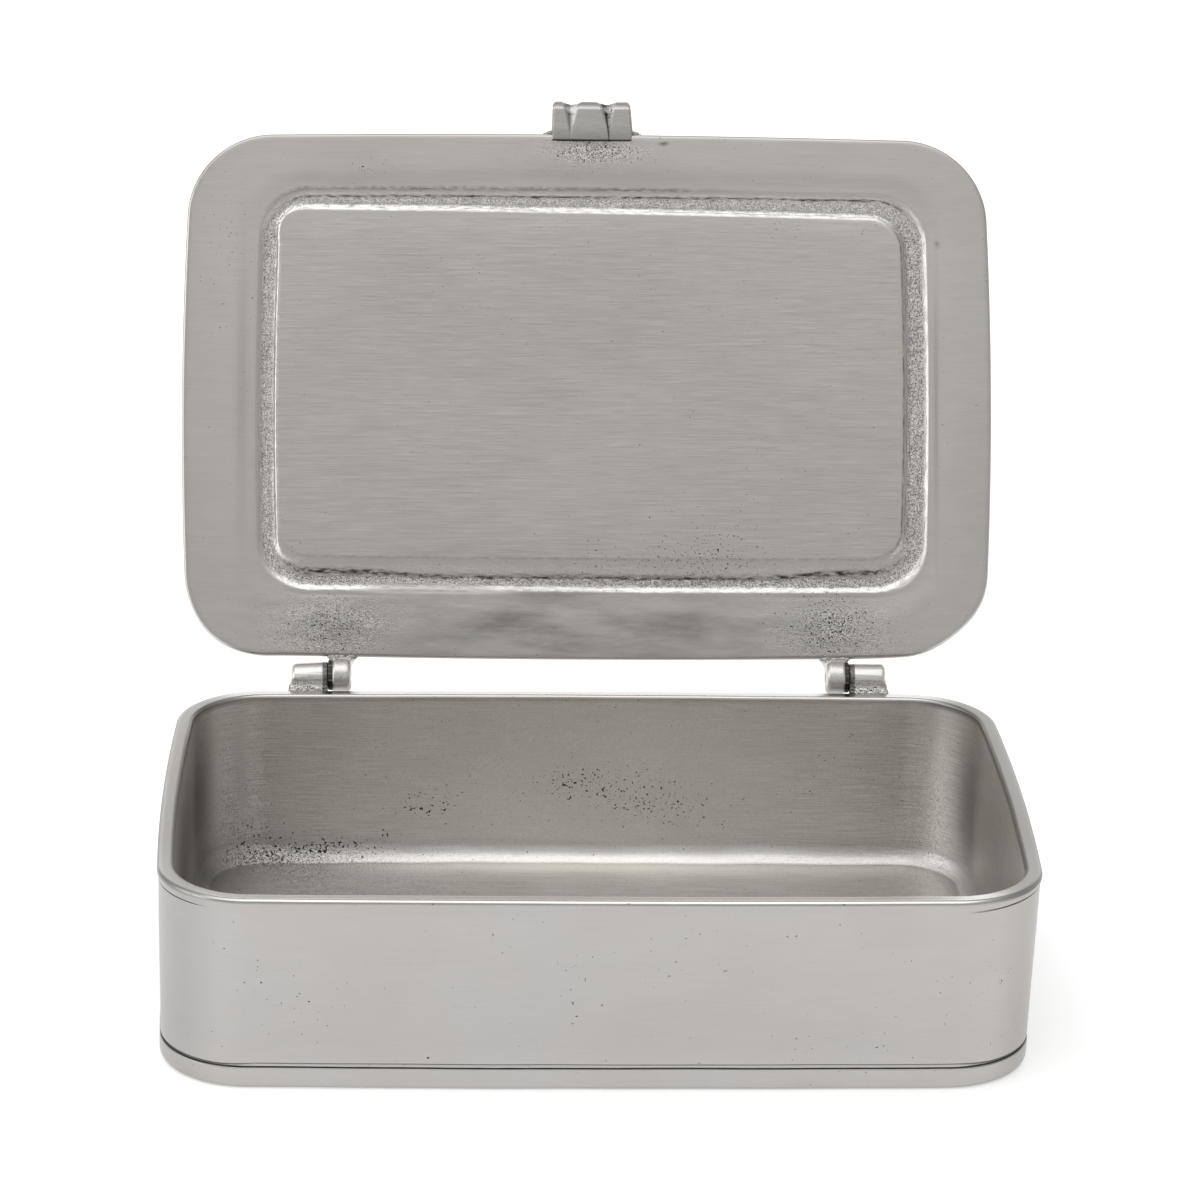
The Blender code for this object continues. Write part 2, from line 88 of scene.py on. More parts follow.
class TubSizes(bpy.types.PropertyGroup):
    """Sizes of the tub."""

    corner_radius: length("Corner radius", "Radius of the four corners", 16.0)
    long_bow: length("Long side bow", "How far the long sides bow outwards", 0.9)
    end_bow: length("End bow", "How far the ends bow outwards", 1.6)
    wall_taper: length("Wall taper", "How far the wall leans in from lip to foot", 0.45)
    foot_shift: length("Foot shift", "How far the hand-made foot lies left of the rim", 0.55)
    base_round: length("Base edge", "Radius of the edge that the tub stands on", 1.2)
    foot_flare: length("Foot flare", "How far the band under the lines stands proud", 0.12)
    line_height: length("Line height", "Height of the lower incised line", 4.0)
    line_spacing: length("Line spacing", "Height from the lower line to the upper one", 0.72)
    line_depth: length("Line depth", "Depth of the incised lines", 0.22)
    rim_line_drop: length("Rim line drop", "Height from the rim down to its line", 2.1)
    lip_height: length("Lip height", "Height of the lip under the rim", 2.6)
    lip_overhang: length("Lip overhang", "How far the lip stands out from the wall", 0.25)
    rim_width: length("Rim width", "Width of the flat rim", 2.9)
    rim_outer_round: length("Rim outer edge", "Radius of the rim's outer edge", 0.8)
    rim_inner_round: length("Rim inner edge", "Radius of the rim's inner edge", 0.6)
    inner_draft: length("Inner draft", "How far the inner wall leans in", 0.6)
    floor_thickness: length("Floor", "Thickness of the floor", 2.3)
    wall_sweep: length("Wall sweep", "Large radius at the foot of the inner wall", 5.0)
    floor_turn: length("Floor turn", "Tight radius where the wall turns into the floor", 1.0)
    unevenness: length("Unevenness", "How far the hand-finished walls wander", 0.09)


class LidSizes(bpy.types.PropertyGroup):
    """Sizes of the lid."""

    overhang: length("Overhang", "How far the lid's ends stand past the tub's", 0.1)
    side_shift: length("Side shift", "How far the lid lies to the right of the tub", 0.45)
    thickness: length("Thickness", "Thickness of the plate", 2.3)
    seat_gap: length("Seat gap", "Gap to the rim when shut", 0.3)
    under_round: length("Under edge", "Radius of the edge towards the rim", 0.6)
    top_round: length("Top edge", "Radius of the outer edge on top", 1.1)
    border_end: length("End border", "Border at the ends", 12.53)
    border_front: length("Front border", "Border at the thumbpiece's side", 10.3)
    border_rear: length("Rear border", "Border at the hinges' side", 11.6)
    outer_shift: length("Outer shift", "How far the channel's outer edge lies right", 1.4)
    inner_shift: length("Inner shift", "How far the panel lies right", 0.8)
    channel_bow: length("Channel bow", "How far the channel's long sides bow", 0.3)
    channel_end_bow: length("Channel end bow", "How far the channel's ends bow", 0.7)
    channel_end: length("End channel", "Width of the channel at the ends", 4.5)
    channel_front: length("Front channel", "Width of the channel at the front", 5.3)
    channel_rear: length("Rear channel", "Width of the channel at the rear", 7.1)
    outer_corner: length("Outer corner", "Corner radius of the channel's outer edge", 9.8)
    inner_corner: length("Inner corner", "Corner radius of the panel", 5.8)
    channel_depth: length("Channel depth", "Depth of the channel", 1.1)
    bead_height: length("Bead height", "Height of the bead on top", 1.1)
    bead_margin: length("Bead margin", "How far the bead is wider than the channel", 1.0)


class HingeSizes(bpy.types.PropertyGroup):
    """Sizes of the hinges."""

    barrel_radius: length("Barrel radius", "Radius of lugs and knuckles", 2.6)
    side_shift: length("Side shift", "How far both hinges lie to the right", 0.8)
    pin_radius: length("Pin radius", "Radius of the pins", 0.9)
    bore_radius: length("Bore radius", "Radius of the bores", 1.1)
    leaf_thickness: length("Leaf thickness", "Thickness of the lug's leaf", 1.3)
    leaf_drop: length("Leaf drop", "How far the leaf reaches under the rim", 7.2)
    leaf_spread: length("Leaf spread", "How much wider each side of the foot is", 0.5)
    neck_spread: length("Neck spread", "How much each side flares to the lid", 1.1)
    tongue_thickness: length("Tongue thickness", "Thickness of the tongue on the lid", 1.0)
    end_round: length("End round", "Radius of the barrels' end edges", 0.35)
    inner_bevel: length("Inner bevel", "Bevel at the inner end of each knuckle", 1.0)
    collar_length: length("Collar length", "How far lug and knuckle reach towards each other", 0.92)
    collar_radius: length("Collar radius", "Radius of the barrels' stepped ends", 2.80)
    knuckle_swell: length("Knuckle swell", "How much larger the knuckles are than the lugs", 0.55)


class ThumbSizes(bpy.types.PropertyGroup):
    """Sizes of the thumbpiece."""

    base_width: length("Base width", "Width at the lid", 15.2)
    tip_width: length("Tip width", "Width at the tip", 14.4)
    reach: length("Reach", "How far it stands out from the lid", 6.3)
    side_shift: length("Side shift", "How far it lies to the right", 1.1)
    overlap: length("Overlap", "How far it is soldered on under the lid", 1.3)
    overlap_depth: length("Overlap depth", "How far it stands proud under the lid", 0.12)
    curl: length("Curl", "How far the tip rises", 1.1)
    tip_round: length("Tip round", "Radius of the tip", 1.6)
    groove_shift: length("Groove shift", "How far both grooves lie to the left", 0.45)
    groove_width: length("Groove width", "Width of the grooves at the tip", 3.7)
    groove_depth: length("Groove depth", "Depth of the grooves at the tip", 1.0)


class PewterColours(bpy.types.PropertyGroup):
    """Colours of the metal."""

    tub: colour("Tub pewter", "Satin pewter of the tub's outside", (0.470, 0.451, 0.438))
    # Painted light: a lighter copy of the pewter that brightens the shaded inside of the tub, with the
    # inside's own greenish tint.
    inner: colour("Inner pewter", "Worn pewter inside the tub", (0.785, 0.760, 0.714))
    lid: colour("Lid pewter", "Satin pewter of the lid", (0.575, 0.545, 0.520))
    fitting: colour("Fitting pewter", "Cast pewter of hinges and thumbpiece", (0.515, 0.492, 0.468))
    cast: colour("As cast", "Skin of the rough casting", (0.640, 0.615, 0.610))
    # Dark colour of the real oxide in lines, pits and seams, also used for painted shade.
    oxide: colour("Oxide", "Dark oxide in lines, pits and seams", (0.040, 0.036, 0.029))
    # Painted highlight colour: near white, mixed in by the bright mask where edges and walls catch the
    # light.
    burnished: colour("Burnished", "Metal rubbed bright on edges", (0.920, 0.900, 0.860))
    steel: colour("Steel", "Dull steel of the pins", (0.300, 0.290, 0.280))


class StageSettings(bpy.types.PropertyGroup):
    """Light, floor and camera."""

    room: amount("Room", "Brightness of the room around", 0.54)
    top_lamp: amount("Top lamp", "Power of the lamp overhead", 5.0, unit="POWER")
    left_lamp: amount("Left lamp", "Power of the lamp at the left", 3.2, unit="POWER")
    back_lamp: amount("Back lamp", "Power of the lamp behind", 9.0, unit="POWER")
    floor: colour("Floor", "Colour of the floor", (0.80, 0.80, 0.80))
    floor_glow: amount("Floor glow", "Share of white that the camera sees of the floor", 0.35)
    lens: amount("Lens", "Focal length of the camera in millimetres", 139.10)


def settings(group):
    """Property group of the open scene."""
    return getattr(bpy.context.scene, "pewter_box_" + group)


# Shapes that more than one piece uses

def ease(value, start, end):
    """0 before start, 1 past end, and a cubic ease between."""
    share = np.clip((value - start) / (end - start), 0, 1)
    return share * share * (3 - 2 * share)


def spot(points, place, reach):
    """Soft spot: e to the minus square of the distance from place, measured in reach along each axis."""
    offset = (points - np.asarray(place) * MM) / (np.asarray(reach) * MM)
    return np.exp(-(offset ** 2).sum(axis=-1))


def spots(points, marks):
    """Sum of soft spots, from rows of place, reach and strength."""
    return sum(strength * spot(points, place, reach) for place, reach, strength in marks)


def bell(value, place, reach):
    """e to the minus square of the distance from place, measured in reach."""
    return np.exp(-((value - place) / reach) ** 2)


def circle(count):
    """Angles of evenly spaced places round a circle."""
    return np.linspace(0, 2 * math.pi, count + 1)[:-1]


def ring_waves(turn, seed, lowest=2, waves=7):
    """Closed waviness round a ring: sines of whole counts with random phases, within about one."""
    draw = np.random.default_rng(seed)
    counts = np.arange(lowest, lowest + waves)
    phases = draw.uniform(0, 2 * math.pi, waves)
    sizes = draw.uniform(0.5, 1.0, waves) / np.sqrt(counts)
    total = (sizes[:, None] * np.sin(counts[:, None] * turn + phases[:, None])).sum(axis=0)
    return total / sizes.sum()


def drift(along, across, cell, seed, waves=9):
    """Soft dents over a surface: sines across random directions, with cell as their usual length."""
    draw = np.random.default_rng(seed)
    total = np.zeros(np.broadcast(along, across).shape)
    for heading, phase, size in draw.uniform(0, 1, (waves, 3)):
        angle = 2 * math.pi * heading
        wave = (along * math.cos(angle) + across * math.sin(angle)) / cell
        total += np.sin(2 * math.pi * (wave * (0.6 + size) + phase))
    return total / waves ** 0.5


def grains(shape, blur, seed):
    """Random bumps on a grid, averaged over their neighbours blur times and scaled to about one."""
    field = np.random.default_rng(seed).standard_normal(shape)
    for _ in range(blur):
        field = (field + np.roll(field, 1, 0) + np.roll(field, 1, 1)) / 3
    return field / field.std()


def between(first, second, share):
    """Rings between two rings of flat points, one for each share of the way."""
    return first + (second - first) * share[:, None, None]


def at_height(flat, height):
    """Rings of flat points raised to a height."""
    return np.concatenate([flat, np.broadcast_to(height, flat.shape[:2])[..., None]], axis=-1)


class Outline:
    """A rounded rectangle whose sides bow, as points and outward directions round it.

    Formula: every side is an arc through its middle and both would-be corners. A corner's centre lies
    where the two neighbouring side circles, each smaller by the corner's radius, cross. One quarter is
    sampled by angle along its three arcs and mirrored to the others.
    """

    def __init__(self, half_x, front_y, rear_y, corner_radius, long_bow, end_bow, counts, shift_x=0.0):
        half_y = (rear_y - front_y) / 2
        long_radius = (half_x ** 2 + long_bow ** 2) / (2 * long_bow)
        end_radius = (half_y ** 2 + end_bow ** 2) / (2 * end_bow)
        long_centre = np.array([0, half_y - long_radius])
        end_centre = np.array([half_x - end_radius, 0])
        centre_gap = long_centre - end_centre
        distance = np.hypot(*centre_gap)
        along = centre_gap / distance
        reach_end = end_radius - corner_radius
        reach_long = long_radius - corner_radius
        foot = (distance ** 2 + reach_end ** 2 - reach_long ** 2) / (2 * distance)
        height = math.sqrt(reach_end ** 2 - foot ** 2)
        corner_centre = end_centre + along * foot + np.array([-along[1], along[0]]) * height
        end_angle = math.atan2(*(corner_centre - end_centre)[::-1])
        long_angle = math.atan2(*(corner_centre - long_centre)[::-1])
        points = []
        outward = []
        for centre, radius, start, end, count in (
                (end_centre, end_radius, 0, end_angle, counts[0]),
                (corner_centre, corner_radius, end_angle, long_angle, counts[1]),
                (long_centre, long_radius, long_angle, math.pi / 2, counts[2])):
            angle = start + (end - start) * np.arange(count) / count
            direction = np.stack([np.cos(angle), np.sin(angle)], axis=-1)
            points.append(centre + radius * direction)
            outward.append(direction)
        self.middle = np.array([shift_x, (front_y + rear_y) / 2])
        apex = np.array([[0, half_y]])
        self.points = self.round_trip(np.concatenate(points + [apex])) + self.middle
        self.outward = self.round_trip(np.concatenate(outward + [np.array([[0, 1]])]))
        steps = np.roll(self.points, -1, axis=0) - self.points
        travelled = np.concatenate([[0], np.cumsum(np.hypot(*steps.T))])
        self.perimeter = travelled[-1]
        self.turn = 2 * math.pi * travelled[:-1] / self.perimeter

    def rear_y(self, x):
        """Y of the rear side at x."""
        rear = self.points[self.outward[:, 1] > 0.5]
        order = np.argsort(rear[:, 0])
        return float(np.interp(x, rear[order, 0], rear[order, 1]))

    @staticmethod
    def round_trip(quarter):
        """A quarter that ends on the long side's middle, mirrored to the whole ring."""
        half = np.concatenate([quarter, quarter[-2::-1] * (-1, 1)])
        return np.concatenate([half, half[-2:0:-1] * (1, -1)])

    def rings(self, inset, height, share=1.0):
        """Grid of points: rings set in from the outline, drawn to the middle by 1 minus share."""
        inset, height, share = np.broadcast_arrays(*(
            value if np.ndim(value) == 2 else np.reshape(value, (-1, 1))
            for value in (inset, height, share)))
        flat = self.points - self.outward * inset[..., None]
        return at_height(self.middle + (flat - self.middle) * share[..., None], height)


def arc_rows(centre_in, centre_z, radius, start_degrees, end_degrees, steps):
    """Insets and heights of rows round an arc."""
    angle = np.radians(np.linspace(start_degrees, end_degrees, steps))
    return centre_in + radius * np.cos(angle), centre_z + radius * np.sin(angle)


def swing_open(points):
    """From the shut lid, in the hinge's frame, to its place at rest: a turn about X, then a shift."""
    cosine = math.cos(-OPEN_ANGLE)
    sine = math.sin(-OPEN_ANGLE)
    x, y, z = np.moveaxis(points, -1, 0)
    return np.stack([x, y * cosine - z * sine, y * sine + z * cosine], axis=-1) + HINGE_PLACE


# Meshes

def fill_mesh(mesh, points, faces):
    """Put points and a list of face arrays into an empty mesh."""
    corners = np.concatenate([face.ravel() for face in faces])
    sizes = np.concatenate([np.full(len(face), face.shape[1]) for face in faces])
    mesh.vertices.add(len(points))
    mesh.vertices.foreach_set("co", points.astype(np.float32).ravel())
    mesh.loops.add(len(corners))
    mesh.loops.foreach_set("vertex_index", corners.astype(np.int32))
    mesh.polygons.add(len(sizes))
    mesh.polygons.foreach_set("loop_start", (np.cumsum(sizes) - sizes).astype(np.int32))
    mesh.update(calc_edges=True)
    mesh.validate()


def make_mesh(name, points, faces, masks):
    """Mesh with its faces outward, from points, face arrays and named values for each point."""
    triangles = np.concatenate([
        np.stack([face[:, 0], face[:, i], face[:, i + 1]], axis=-1)
        for face in faces for i in range(1, face.shape[1] - 1)])
    first, second, third = (points[triangles[:, i]] for i in range(3))
    volume = (first * np.cross(second, third)).sum()
    if volume < 0:
        faces = [face[:, ::-1] for face in faces]
    mesh = bpy.data.meshes.new(name)
    fill_mesh(mesh, points, faces)
    mesh.shade_smooth()
    for label, values in masks.items():
        vector = values.ndim == 2
        layer = mesh.attributes.new(label, "FLOAT_VECTOR" if vector else "FLOAT", "POINT")
        layer.data.foreach_set("vector" if vector else "value", values.astype(np.float32).ravel())
    return mesh


def ring_quads(index):
    """Quads between neighbouring rows of point numbers, where each row is a closed ring."""
    after = np.roll(index, -1, axis=1)
    return np.stack([index[:-1], after[:-1], after[1:], index[1:]], axis=-1).reshape(-1, 4)


def closed_rings(name, grid, masks):
    """Mesh over a grid of closed rings with a pole at each end.

    Formula: each place on the grid joins the next in its ring and the same place in the next ring. The
    first and last ring fan in to their own mean points. A mask with one column holds for whole rings.
    """
    rows, columns = grid.shape[:2]

    def with_poles(values):
        flat = values.reshape(rows * columns, *values.shape[2:])
        return np.concatenate([flat, values[:1].mean(axis=1), values[-1:].mean(axis=1)])

    index = np.arange(rows * columns).reshape(rows, columns)
    after = np.roll(index, -1, axis=1)
    first_pole = np.full(columns, rows * columns)
    fans = np.concatenate([
        np.stack([after[0], index[0], first_pole], axis=-1),
        np.stack([index[-1], after[-1], first_pole + 1], axis=-1)])
    values = {label: with_poles(np.broadcast_to(mask, grid.shape[:2] + mask.shape[2:]))
              for label, mask in masks.items()}
    return make_mesh(name, with_poles(grid), [ring_quads(index), fans], values)


def shell_rings(grid, loop=False):
    """Points and face arrays over a grid of closed rings, capped, or joined last to first as a loop."""
    rows, columns = grid.shape[:2]
    index = np.arange(rows * columns).reshape(rows, columns)
    if loop:
        faces = [ring_quads(np.concatenate([index, index[:1]]))]
    else:
        faces = [ring_quads(index), np.stack([index[0][::-1], index[-1]])]
    return grid.reshape(-1, 3), faces


def read_rows(items, label, width, kind=float):
    """Array with a row of values for each of a mesh's points, corners or edges."""
    values = np.empty(len(items) * width, kind)
    items.foreach_get(label, values)
    return values.reshape(-1, width)


def fused(name, shells, voxel, rounds):
    """Points and faces of several closed shells joined to one skin, with its steps eased away.

    Formula: a voxel remesh joins the shells, and each point then moves halfway to the mean of its
    neighbours, as many times as rounds says.
    """
    starts = np.cumsum([0] + [len(points) for points, _ in shells])
    points = np.concatenate([points for points, _ in shells])
    faces = [face + start for start, (_, shell_faces) in zip(starts, shells) for face in shell_faces]
    rough = bpy.data.meshes.new(name + "_shells")
    fill_mesh(rough, points, faces)
    carrier = add_object(name + "_shells", rough)
    remesh = carrier.modifiers.new("join", "REMESH")
    remesh.mode = "VOXEL"
    remesh.voxel_size = voxel
    evaluated = carrier.evaluated_get(bpy.context.evaluated_depsgraph_get())
    joined = bpy.data.meshes.new_from_object(evaluated)
    points = read_rows(joined.vertices, "co", 3)
    quads = read_rows(joined.loops, "vertex_index", 1, int).reshape(-1, 4)
    edges = read_rows(joined.edges, "vertices", 2, int)
    bpy.data.objects.remove(carrier)
    bpy.data.meshes.remove(rough)
    bpy.data.meshes.remove(joined)
    count = np.bincount(edges.ravel(), minlength=len(points))[:, None]
    for _ in range(rounds):
        total = np.zeros_like(points)
        np.add.at(total, edges[:, 0], points[edges[:, 1]])
        np.add.at(total, edges[:, 1], points[edges[:, 0]])
        points = (points + total / count) / 2
    return points, quads


def add_object(name, data):
    """Object at the origin, in the open scene."""
    item = bpy.data.objects.new(name, data)
    bpy.context.scene.collection.objects.link(item)
    return item


def add_piece(name, mesh, material, body, slot, *nodes):
    """Object at the origin that rides on a body and stands for CAD nodes. Its slot is not used."""
    item = add_object(name, mesh)
    mesh.materials.append(bpy.data.materials[material])
    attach(item, body)
    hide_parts(*nodes)


# Materials

SOCKETS = {"value": "NodeSocketFloat", "vector": "NodeSocketVector", "colour": "NodeSocketColor"}
COOL_TINT = (0.988, 1.0, 1.015)
WARM_TINT = (0.975, 0.972, 0.948)
BLOTCH_SCALE = 38.0
SMEAR_SCALE = 260.0
SMEAR_STRETCH = (0.22, 1.0, 1.0)
CAST_SHARE = 0.75
GLINT_SHARE = 0.75
SPECK_SHARE = 0.80
PIT_SHARE = 0.95
SMOOTH_DEPTH = 0.002 * MM
STROKE_DEPTH = 0.020 * MM
PIT_DEPTH = 0.12 * MM
GRAIN_DEPTH = 0.26 * MM
GLOSS_SPREAD = 0.03


class Nodes:
    """Adds nodes to a tree. A socket given as an input is linked, and a plain value is set."""

    def __init__(self, tree):
        self.tree = tree
        tree.nodes.clear()

    def put(self, target, value):
        """Link or set one input. A colour gets its alpha."""
        if isinstance(value, bpy.types.NodeSocket):
            self.tree.links.new(value, target)
        elif hasattr(target.default_value, "__len__") and len(target.default_value) == 4:
            target.default_value = (*value, 1.0)[:4]
        else:
            target.default_value = value

    def add(self, kind, inputs=None, **options):
        """Node with its named inputs and its options."""
        node = self.tree.nodes.new(kind)
        for option, value in options.items():
            setattr(node, option, value)
        for label, value in (inputs or {}).items():
            self.put(node.inputs[label], value)
        return node

    def maths(self, operation, *values, kind="ShaderNodeMath", **options):
        """Result of an operation on values."""
        node = self.add(kind, operation=operation, **options)
        for index, value in enumerate(values):
            self.put(node.inputs[index], value)
        return node.outputs[0]

    def vector(self, operation, *values):
        """Result of an operation on vectors."""
        return self.maths(operation, *values, kind="ShaderNodeVectorMath")

    def times(self, first, second):
        """Product of two values."""
        return self.maths("MULTIPLY", first, second)

    def weighted(self, *pairs):
        """Sum of values, each times its weight."""
        total = self.times(*pairs[0])
        for value, weight in pairs[1:]:
            total = self.maths("ADD", total, self.times(value, weight))
        return total

    def between(self, share, first, second):
        """Value between two values."""
        return self.add("ShaderNodeMix", {"Factor": share, "A": first, "B": second}).outputs[0]

    def mix(self, share, first, second):
        """Colour between two colours."""
        node = self.add("ShaderNodeMix", data_type="RGBA")
        for index, value in ((0, share), (6, first), (7, second)):
            self.put(node.inputs[index], value)
        return node.outputs[2]

    def noise(self, place, scale, detail=2.0, roughness=0.5):
        """Noise from about 0 to 1."""
        node = self.add("ShaderNodeTexNoise", {
            "Vector": place, "Scale": scale, "Detail": detail, "Roughness": roughness})
        return node.outputs["Fac"]

    def ramp(self, value, low, high, out_low=0.0, out_high=1.0):
        """Value drawn from low and high to two other ends, and no further."""
        node = self.add("ShaderNodeMapRange", {
            "Value": value, "From Min": low, "From Max": high, "To Min": out_low, "To Max": out_high})
        return node.outputs["Result"]

    def mask(self, label, output="Fac"):
        """Value that the piece carries at each point."""
        return self.add("ShaderNodeAttribute", attribute_name=label).outputs[output]

    def group(self, name, **inputs):
        """Outputs of a shared group with named inputs."""
        node = self.add("ShaderNodeGroup", node_tree=bpy.data.node_groups[name])
        for label, value in inputs.items():
            self.put(node.inputs[label.replace("_", " ").capitalize()], value)
        return node.outputs

    def strokes(self, place, stroke):
        """Shade and height of brushed strokes with a length and a spacing."""
        stroke_length, stroke_spacing = stroke
        return self.group(
            "Brushed strokes", place=place, stroke_length=stroke_length, stroke_spacing=stroke_spacing)


def new_group(name, inputs, outputs):
    """Empty shader group with labelled sockets of each kind, its node maker, inputs and output node."""
    tree = bpy.data.node_groups.new(name, "ShaderNodeTree")
    for way, sockets in (("INPUT", inputs), ("OUTPUT", outputs)):
        for kind, labels in sockets.items():
            for label in labels:
                tree.interface.new_socket(label, in_out=way, socket_type=SOCKETS[kind])
    nodes = Nodes(tree)
    given = nodes.add("NodeGroupInput").outputs
    result = nodes.add("NodeGroupOutput").inputs
    return nodes, given, result


def new_material(name):
    """Node maker of a new, empty material."""
    material = bpy.data.materials.new(name)
    material.use_nodes = True
    return Nodes(material.node_tree)


def build_stroke_group():
    """Brushed strokes: noise drawn out along the first axis of its place, fine across the other two."""
    nodes, given, result = new_group(
        "Brushed strokes", {"vector": ["Place"], "value": ["Stroke length", "Stroke spacing"]},
        {"value": ["Shade", "Height"]})
    along = nodes.maths("DIVIDE", 1.0, given["Stroke length"])
    across = nodes.maths("DIVIDE", 1.0, given["Stroke spacing"])
    stretch = nodes.add("ShaderNodeCombineXYZ", {"X": along, "Y": across, "Z": across}).outputs[0]
    place = nodes.vector("MULTIPLY", given["Place"], stretch)
    coarse = nodes.noise(place, 1.0, detail=2.0, roughness=0.6)
    shorter = nodes.vector("MULTIPLY", place, (2.6, 2.2, 2.2))
    fine = nodes.noise(shorter, 1.0, detail=2.0, roughness=0.7)
    both = nodes.weighted((coarse, 0.55), (fine, 0.45))
    nodes.put(result["Shade"], nodes.ramp(both, 0.36, 0.64))
    nodes.put(result["Height"], both)


def build_pit_group():
    """Casting pits: small hollows where a fine noise rises above a level that density lowers."""
    nodes, given, result = new_group(
        "Casting pits", {"vector": ["Place"], "value": ["Density", "Spacing"]},
        {"value": ["Pit", "Height"]})
    scale = nodes.maths("DIVIDE", 1.0, given["Spacing"])
    fine = nodes.noise(given["Place"], scale, detail=1.0, roughness=0.5)
    level = nodes.maths("SUBTRACT", 0.79, nodes.times(given["Density"], 0.30))
    pit = nodes.ramp(nodes.maths("SUBTRACT", fine, level), 0.0, 0.018)
    nodes.put(result["Pit"], pit)
    nodes.put(result["Height"], nodes.maths("SUBTRACT", 1.0, pit))


def build_casting_group():
    """Rough casting: two sizes of noise pushed apart into grains and dark hollows."""
    nodes, given, result = new_group(
        "Rough casting", {"vector": ["Place"], "value": ["Amount", "Grain size"]},
        {"value": ["Speck", "Glint", "Height"]})
    scale = nodes.maths("DIVIDE", 1.0, given["Grain size"])
    fine = nodes.noise(given["Place"], scale, detail=2.0, roughness=0.65)
    coarse = nodes.noise(given["Place"], nodes.times(scale, 0.28), detail=1.0)
    both = nodes.weighted((fine, 0.87), (coarse, 0.13))
    hollow = nodes.ramp(both, 0.515, 0.435)
    grain = nodes.ramp(both, 0.56, 0.62)
    for label, value in (("Speck", hollow), ("Glint", grain), ("Height", both)):
        nodes.put(result[label], nodes.times(value, given["Amount"]))


def build_patina_and_light_group():
    """Patina and painted light: blotches of a warmer metal, a lighter copy of the metal where the piece
    is lightened, the casting's skin, painted highlights in the highlight colour, and dark oxide.

    The oxide, which also serves as painted shade, is the strongest of the stains and painted shade, the
    clouds, the pits and the specks at a place.
    """
    nodes, given, result = new_group(
        "Patina",
        {"vector": ["Place"],
         "colour": ["Metal", "Warm", "Inner", "Cast", "Oxide", "Burnished"],
         "value": ["Worn", "Stain", "Cloud", "Pit", "Speck", "Casting", "Bright", "Shade",
                   "Stroke contrast"]},
        {"colour": ["Colour"], "value": ["Tarnish"]})
    blotches = nodes.noise(given["Place"], BLOTCH_SCALE, detail=3.0, roughness=0.55)
    tint = nodes.mix(nodes.ramp(blotches, 0.38, 0.66), given["Metal"], given["Warm"])
    tint = nodes.mix(given["Worn"], tint, given["Inner"])
    tint = nodes.mix(nodes.times(given["Casting"], CAST_SHARE), tint, given["Cast"])
    low = nodes.maths("SUBTRACT", 1.0, given["Stroke contrast"])
    high = nodes.maths("ADD", 1.0, given["Stroke contrast"])
    light = nodes.ramp(given["Shade"], 0.0, 1.0, low, high)
    grey = nodes.add("ShaderNodeCombineXYZ", {"X": light, "Y": light, "Z": light}).outputs[0]
    # Painted highlights: the highlight colour mixed in where the bright mask is.
    tint = nodes.mix(given["Bright"], nodes.vector("MULTIPLY", tint, grey), given["Burnished"])
    streaked = nodes.vector("MULTIPLY", given["Place"], SMEAR_STRETCH)
    smear = nodes.ramp(nodes.noise(streaked, SMEAR_SCALE, detail=4.0, roughness=0.62), 0.34, 0.72)
    # Dark: real oxide together with painted shade.
    dirt_and_shade = nodes.maths("MAXIMUM", given["Stain"], nodes.times(smear, given["Cloud"]))
    dirt_and_shade = nodes.maths("MAXIMUM", dirt_and_shade, nodes.times(given["Speck"], SPECK_SHARE))
    dirt_and_shade = nodes.maths("MAXIMUM", dirt_and_shade, nodes.times(given["Pit"], PIT_SHARE), use_clamp=True)
    nodes.put(result["Colour"], nodes.mix(dirt_and_shade, tint, given["Oxide"]))
    nodes.put(result["Tarnish"], dirt_and_shade)


